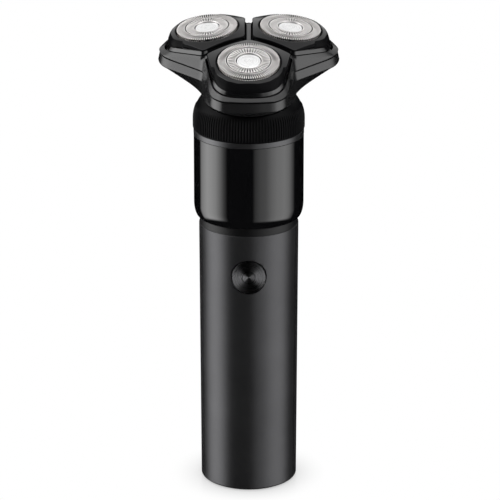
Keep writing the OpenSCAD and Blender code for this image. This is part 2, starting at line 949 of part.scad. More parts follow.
module lobe_opening(a) {
    in_plan(a)
        slab(rounded(grown(lobe_corners, opening_gap), opening_radii), cover_low_q, cap_q);
}
function side_v(corners, u) =
    let (from = corners[len(corners) - 1])
    let (to = corners[len(corners) - 2])
    from[1] + (u - from[0]) / (to[0] - from[0]) * (to[1] - from[1]);
pin_cover = 0.6;
pin_out_v = side_v(frame_corners, 0) - pin_cover;
pin_boss_v = skirt_bore_r + ear_t + pin_boss_gap;
module along_pin(a, s) {
    tilted(a)
        translate([0, 0, -pin_drop])
            rotate([-90 * s, 0, 0])
                children();
}
module head_frame() {
    color("#18181a")
        at_head()
            difference() {
                union() {
                    difference() {
                        union() {
                            for (a = LOBES)
                                frame_lobe(a);
                            for (a = LOBES)
                                in_plan(a)
                                    band_slab(-spigot_inset, cover_top_q, frame_low_q + sliver,
                                        inner_radii);
                        }
                        for (a = LOBES)
                            lobe_opening(a);
                        rod(frame_clear_r, cover_low_q, cap_q);
                        rod(spider_out_r + fit, spider_low_q, cap_q);
                    }
                    for (a = LOBES)
                        for (s = [-1, 1])
                            along_pin(a, s)
                                rod(pin_boss_r, pin_boss_v, pin_out_v);
                }
                for (a = LOBES)
                    for (s = [-1, 1])
                        along_pin(a, s)
                            rod(pin_r, 0, pin_out_v);
            }
}
module centre_spider() {
    color("#77797c")
        at_head()
            translate([0, 0, spider_low_q])
                linear_extrude(spider_h)
                    union()
                        for (a = NOTCHES)
                            rotate([0, 0, a])
                                translate([-spider_half / 2, -spider_half])
                                    square([spider_out_r + spider_half / 2, 2 * spider_half]);
}
module lobe_pins() {
    color("#c2c4c6")
        at_head()
            for (a = LOBES)
                for (s = [-1, 1])
                    along_pin(a, s)
                        rod(pin_r, pin_in_v, pin_out_v);
}
module gear_plate() {
    color("#8b8d90")
        at_head()
            difference() {
                translate([0, 0, plate_low_q])
                    linear_extrude(plate_t)
                        union() {
                            circle(post_c + post_r);
                            for (a = LOBES)
                                at_spindle(a)
                                    circle(gear_boss_r);
                        }
                rod(sun_hub_r + fit, 0, cap_q);
                for (a = LOBES)
                    at_spindle(a)
                        rod(journal_r + fit, 0, cap_q);
                gear_screw_places()
                    rod(gear_screw_r, 0, cap_q);
            }
}
cover_gap = 0.1;
module gear_cover() {
    color("#7f8184")
        at_head()
            difference() {
                union() {
                    for (a = LOBES)
                        in_plan(a)
                            band_slab(-chamber_wall - cover_gap, cover_low_q, cover_top_q, inner_radii);
                    gear_screw_places()
                        rod(post_r, plate_top_q, cover_low_q + cover_t / 2);
                }
                rod(sun_pin_r + fit, 0, cap_q);
                for (a = LOBES)
                    at_spindle(a)
                        rod(upper_journal_r + fit, 0, cap_q);
                gear_screw_places()
                    rod(gear_screw_r, 0, cap_q);
            }
}
module gear_screws() {
    color("#b0b2b5")
        at_head()
            gear_screw_places()
                union() {
                    rod(gear_screw_r, plate_low_q - gear_screw_grip, cover_top_q);
                    rod(gear_screw_head_r, cover_top_q, cover_top_q + gear_screw_head_h);
                }
}
module sun_gear() {
    color("#e2e0d6")
        at_head()
            difference() {
                union() {
                    slab(gear_outline(sun_teeth), gear_low_q, gear_top_q);
                    rod(sun_hub_r, sun_hub_low_q, gear_low_q);
                    rod(sun_pin_r, gear_top_q, cover_top_q);
                }
                hex_rod(hex_flats + 2 * hex_gap, sun_hub_low_q - over, hex_tip_q + hex_end_gap);
            }
}
module drive_gear(a) {
    color("#e6e4da")
        at_head()
            at_spindle(a)
                union() {
                    rotate([0, 0, 180 / drive_teeth])
                        slab(gear_outline(drive_teeth), gear_low_q, gear_top_q);
                    rotate_extrude()
                        polygon([[0, plate_low_q], [journal_r, plate_low_q],
                            [journal_r, gear_low_q + gear_w / 3], [upper_journal_r, gear_low_q + gear_w / 3],
                            [upper_journal_r, journal_top_q], [spindle_r, journal_top_q],
                            [spindle_r, hex_low_q + sliver], [0, hex_low_q + sliver]]);
                    hex_rod(spindle_hex_flats, hex_low_q, hex_low_q + spindle_hex_h);
                }
}
module drive_gear_front() {
    drive_gear(FRONT);
}
module drive_gear_left() {
    drive_gear(LEFT);
}
module drive_gear_right() {
    drive_gear(RIGHT);
}

// Lobe pieces, in lobe axes
module lobe_slab(inset, radii, w0, w1) {
    slab(rounded(sunk(grown(lobe_corners, -inset), w0), radii), w0, w1);
}
module pin_ear(s) {
    translate([0, s * skirt_bore_r, -pin_drop])
        rotate([-90 * s, 0, 0])
            linear_extrude(ear_t)
                union() {
                    circle(ear_r);
                    translate([-ear_r, s > 0 ? -ear_rise : 0])
                        square([2 * ear_r, ear_rise]);
                }
}
module lobe_plate(a) {
    color("#1c1c1e")
        at_lobe(a)
            difference() {
                union() {
                    hull() {
                        translate([0, 0, crown_w - sliver])
                            cylinder(r = crown_r, h = sliver, $fn = hull_fn);
                        slab(rounded(grown(brow_corners, -brow_inset), brow_radii), brow_w - sliver, brow_w);
                        lobe_slab(edge_inset, lobe_radii, edge_w - sliver, edge_w);
                        lobe_slab(0, lobe_radii, strip_low_w, strip_w);
                    }
                    rod(skirt_r, skirt_low_w, strip_low_w + sliver);
                    for (s = [-1, 1])
                        pin_ear(s);
                }
                rod(cap_r + cap_gap, -cap_q, over);
                rod(skirt_bore_r, -cap_q, seat_w);
                translate([0, 0, -pin_drop])
                    rotate([90, 0, 0])
                        cylinder(r = pin_r + fit, h = cap_q, center = true);
            }
}
module lobe_plate_front() {
    lobe_plate(FRONT);
}
module lobe_plate_left() {
    lobe_plate(LEFT);
}
module lobe_plate_right() {
    lobe_plate(RIGHT);
}
module slot_ring(count, width, from, to) {
    for (i = [0 : count - 1])
        rotate([0, 0, 360 * i / count])
            translate([from, -width / 2])
                square([to - from, width]);
}
module shaving_cap(a) {
    color("#d4d6d8")
        at_lobe(a)
            difference() {
                rotate_extrude()
                    polygon([[disc_r, -cap_t], [disc_r, 0], [groove_r - groove_w / 2, 0],
                        [groove_r - groove_w / 2, -groove_depth], [groove_r + groove_w / 2, -groove_depth],
                        [groove_r + groove_w / 2, 0], [cap_r, 0], [cap_r, seat_w], [cap_flange_r, seat_w],
                        [cap_flange_r, cap_flange_w], [cap_r - cap_wall, cap_flange_w],
                        [cap_r - cap_wall, -cap_t]]);
                translate([0, 0, -cap_t - over])
                    linear_extrude(cap_t + 2 * over)
                        slot_ring(inner_slots, inner_slot_w, inner_slot_from, inner_slot_to);
                translate([0, 0, -outer_slot_drop])
                    linear_extrude(outer_slot_drop + over)
                        slot_ring(outer_slots, outer_slot_w, outer_slot_from, cap_r + over);
            }
}
module shaving_cap_front() {
    shaving_cap(FRONT);
}
module shaving_cap_left() {
    shaving_cap(LEFT);
}
module shaving_cap_right() {
    shaving_cap(RIGHT);
}
module cap_disc(a) {
    color("#f0f0f0")
        at_lobe(a)
            rotate_extrude()
                polygon(concat(
                    [[0, disc_post_w], [disc_post_r, disc_post_w], [disc_post_r, -cap_t], [disc_r, -cap_t]],
                    [for (k = [0 : disc_steps])
                        let (t = 1 - k / disc_steps)
                        [disc_r * t, disc_rise * (1 - t * t)]]));
}
module cap_disc_front() {
    cap_disc(FRONT);
}
module cap_disc_left() {
    cap_disc(LEFT);
}
module cap_disc_right() {
    cap_disc(RIGHT);
}
module cutter(a) {
    color("#b9bbbe")
        at_lobe(a)
            difference() {
                union() {
                    rod(cutter_r, cutter_low_w, cutter_top_w);
                    rod(cutter_hub_r, cutter_hub_low_w, cutter_low_w);
                    rod(cutter_boss_r, cutter_top_w, cutter_boss_w);
                    for (i = [0 : blade_count - 1])
                        rotate([0, 0, 360 * i / blade_count])
                            translate([inner_slot_from, -blade_t / 2, cutter_top_w - blade_t / 2])
                                cube([cutter_r - inner_slot_from - blade_t / 2, blade_t,
                                    -cap_t - blade_gap - cutter_top_w + blade_t / 2]);
                }
                rod(disc_post_r + fit, cutter_low_w + blade_t, over);
                hex_rod(spindle_hex_flats + 2 * spindle_hex_gap, cutter_hub_low_w - over, cutter_socket_w);
            }
}
module cutter_front() {
    cutter(FRONT);
}
module cutter_left() {
    cutter(LEFT);
}
module cutter_right() {
    cutter(RIGHT);
}
module cap_retainer(a) {
    color("#2b2b2e")
        at_lobe(a)
            tube(skirt_bore_r, cap_r - cap_wall, retainer_low_w, cap_flange_w);
}
module cap_retainer_front() {
    cap_retainer(FRONT);
}
module cap_retainer_left() {
    cap_retainer(LEFT);
}
module cap_retainer_right() {
    cap_retainer(RIGHT);
}

handle_tube();
base_cap();
base_seal();
base_screws();
charge_socket();
charge_tongue();
joint_ring();
upper_sleeve();
trim_ring();
neck_collar();
neck_seal();
chassis();
battery_cell();
cell_tabs();
circuit_board();
board_switch();
board_screws();
motor_can();
motor_mount();
motor_screws();
power_button();
button_face();
motor_shaft();
motor_rotor();
drive_coupling();
chamber_shell();
head_frame();
centre_spider();
gear_plate();
gear_cover();
gear_screws();
sun_gear();
drive_gear_front();
drive_gear_left();
drive_gear_right();
lobe_pins();
lobe_plate_front();
lobe_plate_left();
lobe_plate_right();
shaving_cap_front();
shaving_cap_left();
shaving_cap_right();
cap_disc_front();
cap_disc_left();
cap_disc_right();
cutter_front();
cutter_left();
cutter_right();
cap_retainer_front();
cap_retainer_left();
cap_retainer_right();
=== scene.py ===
"""Models and finishes the rotary shaver around its solid frame."""

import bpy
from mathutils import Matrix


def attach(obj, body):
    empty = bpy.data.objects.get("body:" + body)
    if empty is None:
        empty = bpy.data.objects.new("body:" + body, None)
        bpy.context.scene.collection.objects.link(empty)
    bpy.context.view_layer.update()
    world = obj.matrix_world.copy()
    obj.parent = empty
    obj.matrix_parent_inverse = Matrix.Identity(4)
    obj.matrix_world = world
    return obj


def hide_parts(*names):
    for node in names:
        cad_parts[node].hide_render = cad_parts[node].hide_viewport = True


bl_info = {
    "name": "Rotary Shaver Finish",
    "version": (1, 0, 0),
    "blender": (4, 5, 0),
    "location": "View3D > Sidebar > Shaver",
    "description": "Models and finishes the shaver around its solid frame",
    "category": "Object",
}

import math

import bmesh
import bpy
from bpy.props import FloatProperty, FloatVectorProperty, IntProperty, PointerProperty
from mathutils import Matrix, Vector
from mathutils.kdtree import KDTree

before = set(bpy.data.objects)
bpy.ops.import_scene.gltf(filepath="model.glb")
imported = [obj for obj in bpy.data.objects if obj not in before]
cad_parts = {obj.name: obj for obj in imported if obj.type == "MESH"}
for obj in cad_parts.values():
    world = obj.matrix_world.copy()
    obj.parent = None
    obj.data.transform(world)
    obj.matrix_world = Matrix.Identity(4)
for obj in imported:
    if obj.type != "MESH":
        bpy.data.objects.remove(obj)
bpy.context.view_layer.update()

MM = 0.001
TURN = 2 * math.pi
SIN60 = math.sin(math.radians(60))
HEAD_STEPS = 360
LOBE_STEPS = 300
MAP_SCALE = 0.05
MERGE = 1e-6
# The cap's groove runs at this share of its radius; the cap's steel gets painted shade, a dark ring, along it.
CAP_GROOVE = 0.716  # share of the cap's radius

# Lengths in millimetres; the lobe's are in its own axes, from the cap's middle
INNER_SLOT, OUTER_SLOT = 0.46, 0.49
LOBE_TOP, LOBE_EDGE, LOBE_STRIP = -0.75, -4.6, -5.65
SEAT_EDGE, GAP_START = 11.68, -7.4
SILL_RISE, SILL_START, SILL_RUN = 1.9, 10.5, 18
COLLAR_BEND, COLLAR_WALL, COLLAR_SKIN = 12.6, 3.6, 1.6

LOBES = {"front": -90, "right": 30, "left": 150}

# Direction in degrees and level of the light dome's soft boxes
DOME_LEVELS = ((-180, 0), (-124, 0), (-118, 1.6), (-110, 2.6), (-97, 4.3), (-85, 4.6), (-74, 4.2), (-64, 2.7),
               (-54, 0.9), (-46, 0), (8, 0), (14, 0.6), (24, 1.1), (36, 1.4), (50, 2.5), (62, 3.1), (80, 3.1),
               (92, 2.2), (104, 0.7), (112, 0), (180, 0))
DOME_PEAK = 5.0

# Colour, roughness, swing of the roughness, scale and bump of the grain, and what else differs
MOULDED = {
    "Satin Tube": ("handle", "tube_roughness", 0.05, 9000, 0.05, {"metallic": 0.72, "edge": 0.3}),
    "Gloss Black": ("gloss", 0.04, 0.02, 900, 0.002, {}),
    "Head Black": ("shell", 0.26, 0.06, 2500, 0.01, {"gloss": 0.42}),
    "Lobe Black": ("lobe", 0.12, 0.05, 2500, 0.006, {}),
    # Copies of the lobe's black that reflect less, for painted shade on the lobes' tops and walls.
    "Shaded Top Black": ("lobe", 0.12, 0.05, 2500, 0.006, {"gloss": 0.24}),
    "Shaded Wall Black": ("lobe", 0.3, 0.06, 2500, 0.01, {"gloss": 0.02}),
    "Matte Black": ("matte", 0.38, 0.08, 5000, 0.05, {"gloss": 0.035}),
    "Plain Black": ("matte", 0.42, 0.08, 4000, 0.05, {"gloss": 0.2}),
    "Trim Grey": ("trim", 0.28, 0.06, 6000, 0.04, {"metallic": 0.7}),
    "Bar Grey": ("bars", 0.4, 0.08, 5000, 0.05, {}),
    # The darker steel is the cutters' and pins' own colour, and painted shade on the caps' outer sides.
    "Dark Steel And Painted Shade": ((0.03, 0.03, 0.03), 0.5, 0.1, 3000, 0.05, {"metallic": 1.0}),
    "Bright Steel": ((0.5, 0.5, 0.52), 0.3, 0.15, 3000, 0.05, {"metallic": 1.0}),
    "Inner Grey": ((0.22, 0.22, 0.23), 0.5, 0.08, 4000, 0.05, {}),
    "Gear White": ((0.72, 0.71, 0.67), 0.45, 0.08, 4000, 0.04, {}),
    "Cell Wrap": ((0.05, 0.22, 0.14), 0.35, 0.08, 4000, 0.02, {}),
    "Board Green": ((0.015, 0.12, 0.05), 0.4, 0.08, 4000, 0.03, {}),
}


def length(name, description, default):
    return FloatProperty(name=name, description=description, default=default * MM, unit="LENGTH", subtype="DISTANCE")


def angle(name, description, default):
    return FloatProperty(name=name, description=description, default=math.radians(default), unit="ROTATION",
                         subtype="ANGLE")


def tint(name, description, default):
    return FloatVectorProperty(name=name, description=description, default=default, size=3, min=0, max=1,
                               subtype="COLOR")


def factor(name, description, default):
    return FloatProperty(name=name, description=description, default=default, min=0, max=1, subtype="FACTOR")


class SHAVER_PG_handle(bpy.types.PropertyGroup):
    tube_top_d: length("Tube, upper diameter", "Diameter of the tube at its upper end", 36.0)
    tube_low_d: length("Tube, lower diameter", "Diameter of the tube above its rounded lower edge", 35.1)
    tube_top_z: length("Tube top", "Height of the tube's upper end", 99.5)
    foot_d: length("Foot diameter", "Diameter of the foot disc", 29.4)
    foot_h: length("Foot height", "Height of the foot disc", 1.0)
    button_z: length("Button height", "Height of the button's middle", 84.0)
    button_d: length("Button diameter", "Diameter of the button", 12.2)
    button_gap: length("Button gap", "Gap between the button and the tube", 0.35)
    dimple_d: length("Dimple diameter", "Diameter of the dimple in the button", 4.6)
    sleeve_z: length("Sleeve foot", "Height of the sleeve's lower edge", 102.4)
    sleeve_d: length("Sleeve diameter", "Diameter of the gloss sleeve", 39.6)
    trim_z: length("Trim foot", "Height of the trim ring's lower edge", 133.1)
    collar_z: length("Collar foot", "Height of the collar's lower edge", 135.1)
    rib_count: IntProperty(name="Ribs", description="Number of ribs round the collar", default=120, min=24)


class SHAVER_PG_head(bpy.types.PropertyGroup):
    head_z: length("Neck point", "Height of the neck point on the handle's axis", 137.0)
    head_tilt: angle("Head tilt", "Forward tilt of the head", 11)
    lobe_tilt: angle("Lobe tilt", "Outward tilt of each lobe", 7)
    cap_q: length("Cap plane", "Distance of the cap plane from the neck point", 34.0)
    collar_cut: length("Neck plane", "Distance of the collar's flat top from the neck point", 10.8)
    cap_circle: length("Cap circle", "Radius of the circle the caps' middles lie on", 17.1703)
    lobe_reach: length("Lobe reach", "Reach of a lobe from the head axis", 30.3)
    lobe_half: length("Lobe half width", "Half width of a lobe at its outer end", 11.5)
    lobe_gap: length("Lobe gap", "Half of the gap between two lobes", 1.4)
    notch_r: length("Notch radius", "Distance of the notch corner from the head axis", 18.0)
    end_curve: length("End curve", "Radius of the curve of a lobe's outer end", 48.0)
    frame_reach: length("Frame reach", "Reach of the frame from the head axis", 32.9)
    frame_half: length("Frame half width", "Half width of the frame at its outer end", 13.4)
    neck_d: length("Neck diameter", "Diameter of the neck end of the head", 33.6)
    cap_d: length("Cap diameter", "Diameter of a cap", 21.7)
    disc_d: length("Disc diameter", "Diameter of the bright disc", 8.8)
    inner_slots: IntProperty(name="Inner slots", description="Slots in a cap's inner ring", default=42, min=12)
    outer_slots: IntProperty(name="Outer slots", description="Slots in a cap's outer ring", default=84, min=12)


class SHAVER_PG_finish(bpy.types.PropertyGroup):
    handle: tint("Tube", "Colour of the satin tube", (0.049, 0.049, 0.051))
    gloss: tint("Gloss black", "Colour of the gloss sleeve", (0.004, 0.004, 0.0045))
    shell: tint("Head black", "Colour of the head's shell", (0.011, 0.011, 0.0115))
    lobe: tint("Lobe black", "Colour of the lobes", (0.005, 0.005, 0.0055))
    matte: tint("Matte black", "Colour of the ribbed collar", (0.0022, 0.0022, 0.0025))
    trim: tint("Trim grey", "Colour of the trim ring", (0.05, 0.05, 0.052))
    steel: tint("Cap steel", "Colour of the slotted caps", (0.72, 0.7, 0.69))
    bright: tint("Bright metal", "Colour of the discs", (0.8, 0.8, 0.8))
    bars: tint("Divider grey", "Colour of the bars between the lobes", (0.09, 0.09, 0.092))
    button: tint("Button metal", "Colour of the button's face", (0.32, 0.32, 0.33))
    tube_roughness: factor("Tube roughness", "Roughness of the satin tube", 0.31)


class SHAVER_PG_stage(bpy.types.PropertyGroup):
    distance: FloatProperty(name="Camera distance", description="Camera to the object's middle", default=1.2,
                            unit="LENGTH", subtype="DISTANCE")
    elevation: angle("Camera elevation", "Height of the camera above the horizon", 20.2)
    focal: FloatProperty(name="Focal length", description="Lens in millimetres", default=237.6)
    floor: tint("Floor", "Colour of the floor", (0.9, 0.9, 0.9))


GROUPS = {
    "shaver_handle": SHAVER_PG_handle,
    "shaver_head": SHAVER_PG_head,
    "shaver_finish": SHAVER_PG_finish,
    "shaver_stage": SHAVER_PG_stage,
}


def mm(value):
    return value / MM


def polar(radius, degrees):
    return Vector((radius * math.cos(math.radians(degrees)), radius * math.sin(math.radians(degrees))))


def quarter(steps):
    """Angles from nought to a right angle."""
    return [math.radians(90 * k / steps) for k in range(steps + 1)]


def head_values():
    return bpy.context.scene.shaver_head


# Selection and mesh helpers

def deselect():
    if bpy.context.object and bpy.context.object.mode != "OBJECT":
        bpy.ops.object.mode_set(mode="OBJECT")
    bpy.ops.object.select_all(action="DESELECT")


def activate(piece):
    deselect()
    piece.select_set(True)
    bpy.context.view_layer.objects.active = piece


def edit(piece):
    """Enters edit mode with all of the piece selected."""
    activate(piece)
    bpy.ops.object.mode_set(mode="EDIT")
    bpy.ops.mesh.select_all(action="SELECT")


def leave():
    bpy.ops.object.mode_set(mode="OBJECT")


def named(name):
    piece = bpy.context.active_object
    piece.name = name
    piece.data.name = name
    return piece


def primitive(kind, name, **settings):
    deselect()
    getattr(bpy.ops.mesh, "primitive_" + kind + "_add")(**settings)
    return named(name)


def edited(piece, operator, **settings):
    """Runs one mesh operator on all of a piece."""
    edit(piece)
    getattr(bpy.ops.mesh, operator)(**settings)
    leave()
    return piece


def profile_ring(name, profile):
    """A ring through points of (radius, height), in millimetres, in the XZ plane."""
    piece = primitive("circle", name, vertices=len(profile), radius=1)
    for vert, (r, z) in zip(piece.data.vertices, profile):
        vert.co = (r * MM, 0, z * MM)
    return piece


def close_up(piece, flatten=False):
    """Merges doubled points and turns the normals outwards; flatten joins the triangles of flat faces."""
    edit(piece)
    bpy.ops.mesh.remove_doubles(threshold=MERGE)
    if flatten:
        bpy.ops.mesh.dissolve_limited(angle_limit=math.radians(0.5))
    else:
        bpy.ops.mesh.dissolve_degenerate(threshold=MERGE)
    bpy.ops.mesh.select_all(action="SELECT")
    bpy.ops.mesh.normals_make_consistent(inside=False)
    leave()
    return piece


def turned(name, profile, segments):
    """Spins a closed profile of (radius, height) in millimetres about the local Z axis."""
    return close_up(edited(profile_ring(name, profile), "spin", steps=segments, angle=TURN, center=(0, 0, 0),
                           axis=(0, 0, 1), use_auto_merge=True))


def lofted(name, rings):
    """Extrudes a ring through the given rings of points, in millimetres, and joins the last to the first."""
    piece = primitive("circle", name, vertices=len(rings[0]), radius=1)
    for vert, spot in zip(piece.data.vertices, rings[0]):
        vert.co = Vector(spot) * MM
    edit(piece)
    last = rings[0]
    for points in rings[1:] + rings[:1]:
        bpy.ops.mesh.extrude_edges_indiv()
        mesh = bmesh.from_edit_mesh(piece.data)
        where = KDTree(len(last))
        for i, spot in enumerate(last):
            where.insert(Vector(spot) * MM, i)
        where.balance()
        for vert in mesh.verts:
            if vert.select:
                vert.co = Vector(points[where.find(vert.co)[1]]) * MM
        bmesh.update_edit_mesh(piece.data)
        last = points
    leave()
    return close_up(piece)


def eased(points, steps=4):
    """Rounds the corners of a closed profile whose points carry a third value, the corner's radius."""
    made = []
    for i, point in enumerate(points):
        here = Vector(point[:2])
        r = point[2] if len(point) > 2 else 0
        if r <= 0:
            made.append(tuple(here))
            continue
        d0 = (Vector(points[i - 1][:2]) - here).normalized()
        d1 = (Vector(points[(i + 1) % len(points)][:2]) - here).normalized()
        half = math.acos(max(-1, min(1, d0.dot(d1)))) / 2
        reach = r / math.tan(half)
        start, end = here + d0 * reach, here + d1 * reach
        centre = here + (d0 + d1).normalized() * r / math.sin(half)
        a, b = start - centre, end - centre
        sweep = a.angle_signed(b)
        for k in range(steps + 1):
            made.append(tuple(centre + Matrix.Rotation(-sweep * k / steps, 2) @ a))
    return made


def smooth(piece, degrees=32):
    activate(piece)
    bpy.ops.object.shade_smooth_by_angle(angle=math.radians(degrees))
    return apply_modifier(piece, "WEIGHTED_NORMAL", keep_sharp=True)


def apply_modifier(piece, kind, **settings):
    activate(piece)
    modifier = piece.modifiers.new(kind.title(), kind)
    for key, value in settings.items():
        setattr(modifier, key, value)
    bpy.ops.object.modifier_apply(modifier=modifier.name)
    return piece


def bevelled(piece, width, degrees):
    return apply_modifier(piece, "BEVEL", width=width * MM, segments=2, limit_method="ANGLE",
                          angle_limit=math.radians(degrees))


def place(piece, matrix):
    """Moves the mesh itself, so that the object stays at the origin."""
    activate(piece)
    piece.matrix_world = matrix
    bpy.ops.object.transform_apply(location=True, rotation=True, scale=True)
    return piece


def copy_of(piece, name):
    made = piece.copy()
    made.data = piece.data.copy()
    made.name = name
    made.data.name = name
    bpy.context.scene.collection.objects.link(made)
    return made


def from_solid(node, name, bevel=0.0):
    """A merged copy of a solid's mesh, with its edges broken."""
    piece = close_up(copy_of(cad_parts[node], name), flatten=True)
    if bevel:
        bevelled(piece, bevel, 35)
    return smooth(piece)


def joined(name, pieces):
    deselect()
    for piece in pieces:
        piece.select_set(True)
    bpy.context.view_layer.objects.active = pieces[0]
    bpy.ops.object.join()
    return named(name)


def round_copies(piece, count, name):
    """Copies a piece round the local Z axis and joins the copies."""
    made = [piece] + [copy_of(piece, name) for _ in range(count - 1)]
    for k, one in enumerate(made):
        place(one, Matrix.Rotation(TURN * k / count, 4, "Z"))
    return joined(name, made)


def turning_map(piece):
    """Lays out a map whose first axis runs round the local Z axis and whose second runs along the radius."""
    layer = piece.data.uv_layers.new(name="turning")
    for face in piece.data.polygons:
        spots = [piece.data.vertices[piece.data.loops[i].vertex_index].co for i in face.loop_indices]
        turns = [math.atan2(p.y, p.x) / TURN % 1 for p in spots]
        wraps = max(turns) - min(turns) > 0.5
        for i, p, t in zip(face.loop_indices, spots, turns):
            layer.data[i].uv = (t + 1 if wraps and t < 0.5 else t, math.hypot(p.x, p.y) / MAP_SCALE)
    return piece


def coat(piece, material):
    piece.data.materials.clear()
    piece.data.materials.append(material)


def finish_piece(piece, body, slot, material, *nodes):
    coat(piece, material)
    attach(piece, body)
    if nodes:
        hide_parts(*nodes)
    return piece


def second_finish(piece, material, faces):
    """Gives some faces a further finish."""
    piece.data.materials.append(material)
    for index in faces:
        piece.data.polygons[index].material_index = len(piece.data.materials) - 1


def dress(material, *nodes):
    """Gives solids that are shown as they are a finish."""
    for node in nodes:
        coat(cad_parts[node], material)


# Placement

def head_matrix():
    head = head_values()
    return Matrix.Translation((0, 0, head.head_z)) @ Matrix.Rotation(head.head_tilt, 4, "X")


def cap_circle():
    return mm(head_values().cap_circle)


def lobe_matrix(degrees):
    head = head_values()
    return (head_matrix() @ Matrix.Rotation(math.radians(degrees), 4, "Z")
            @ Matrix.Translation((head.cap_circle, 0, head.cap_q)) @ Matrix.Rotation(head.lobe_tilt, 4, "Y"))


# Plan outlines of the head, in lobe axes with the cap's axis at the origin

def shield(inner, notch, notch_half, reach, half, steps=8):
    """A third of the head: from its middle past two notches to a curved outer end."""
    c, curve = cap_circle(), mm(head_values().end_curve)
    widest = math.asin(half / curve)
    turns = [widest * (2 * k / steps - 1) for k in range(steps + 1)]
    end = [Vector((reach - c - curve * (1 - math.cos(a)), curve * math.sin(a))) for a in turns]
    return [Vector((inner - c, 0)), Vector((notch - c, -notch_half)), *end, Vector((notch - c, notch_half))]


def lobe_outline(grow):
    """Foot of a lobe, grown by a distance."""
    head = head_values()
    gap, r = mm(head.lobe_gap), mm(head.notch_r)
    points = shield(gap / SIN60, r / 2 + gap * SIN60, r * SIN60 - gap / 2, mm(head.lobe_reach) + 0.6,
                    mm(head.lobe_half), steps=2)
    return rounded(grown(points, grow), [3, 1, 9, 40, 9, 1])


def brow_outline():
    """Edge of a lobe's sloping top, which draws in towards the cap at the outer end."""
    head = head_values()
    gap, r = mm(head.lobe_gap) + 0.2, mm(head.notch_r) - 0.2
    corner = (r / 2 + gap * SIN60 - cap_circle(), r * SIN60 - gap / 2)
    half = [corner, (3.0, 13.0), (7.8, 10.5), (10.8, 7.4), (12.6, 3.8)]
    points = [(gap / SIN60 - cap_circle(), 0)] + [(u, -v) for u, v in half] + [(u, v) for u, v in half[::-1]]
    return rounded([Vector(p) for p in points], [2.4, 1.2, 5, 4, 4, 4, 4, 4, 4, 5, 1.2])


def frame_outline():
    """Outside of the bands round a lobe."""
    head = head_values()
    r = mm(head.notch_r) + 0.7
    points = shield(-0.5, r / 2 - 0.25, r * SIN60 + 0.25, mm(head.frame_reach), mm(head.frame_half))
    return rounded(points, [0, 0, 8.5] + [0] * (len(points) - 5) + [8.5, 0])


def grown(points, distance):
    """Moves each side of a closed outline outwards."""
    made = []
    for i, p in enumerate(points):
        d0 = (p - points[i - 1]).normalized()
        d1 = (points[(i + 1) % len(points)] - p).normalized()
        n0, n1 = Vector((d0.y, -d0.x)), Vector((d1.y, -d1.x))
        made.append(p + distance * (n0 + n1) / (1 + n0.dot(n1)))
    return made


def rounded(points, radii, steps=6):
    return [Vector(p) for p in eased([(p.x, p.y, r) for p, r in zip(points, radii)], steps)]


def reach_at(points, origin, degrees):
    """Distance from origin to the outline in the given direction."""
    d = polar(1, degrees)
    best = 0
    for i, a in enumerate(points):
        b = points[(i + 1) % len(points)]
        e = b - a
        cross = d.x * e.y - d.y * e.x
        if abs(cross) < 1e-12:
            continue
        f = a - origin
        along = (f.x * e.y - f.y * e.x) / cross
        part = (f.x * d.y - f.y * d.x) / cross
        if along > best and -1e-9 <= part <= 1 + 1e-9:
            best = along
    return best


def softened(values, spread):
    """Averages a closed run of values over its neighbours, nearer ones counting more."""
    weights = [spread + 1 - abs(k) for k in range(-spread, spread + 1)]
    return [sum(w * values[(i + k) % len(values)] for w, k in zip(weights, range(-spread, spread + 1))) / sum(weights)
            for i in range(len(values))]


def nearest_lobe(degrees):
    return min(LOBES.values(), key=lambda a: abs((degrees - a + 180) % 360 - 180))


def head_radii(points, spread=3, notch_spread=7):
    """Radius of the three-lobed outline about the head axis, all the way round; the notches are rounded more."""
    axis = Vector((-cap_circle(), 0))
    turns = [360 * i / HEAD_STEPS for i in range(HEAD_STEPS)]
    sharp = [reach_at(points, axis, t - nearest_lobe(t)) for t in turns]
    shares = [max(0, 1 - abs(60 - abs((t - nearest_lobe(t) + 180) % 360 - 180)) / 16) for t in turns]
    return [a + (b - a) * k for a, b, k in zip(softened(sharp, spread), softened(sharp, notch_spread), shares)]


def tilted_height(radius, degrees, depth):
    """Height above the neck point of a lobe's tilted plane, met at this radius and direction from the head axis."""
    head = head_values()
    tilt = head.lobe_tilt
    out = radius * math.cos(math.radians(degrees - nearest_lobe(degrees))) - cap_circle() - depth * math.sin(tilt)
    return mm(head.cap_q) - out * math.tan(tilt) + depth * math.cos(tilt)


def sill(out, depth):
    """Depth of a lobe's foot at this distance out from the cap's axis: it climbs from the outer end to the notch."""
    return depth + SILL_RISE * min(1, max(0, (SILL_START - out) / SILL_RUN))


def round_ring(radii, heights):
    """Points about an axis, at even turns; a single height serves for all."""
    count = len(radii)
    if not isinstance(heights, list):
        heights = [heights] * count
    return [(*polar(r, 360 * i / count), q) for i, (r, q) in enumerate(zip(radii, heights))]


# Shader node helpers

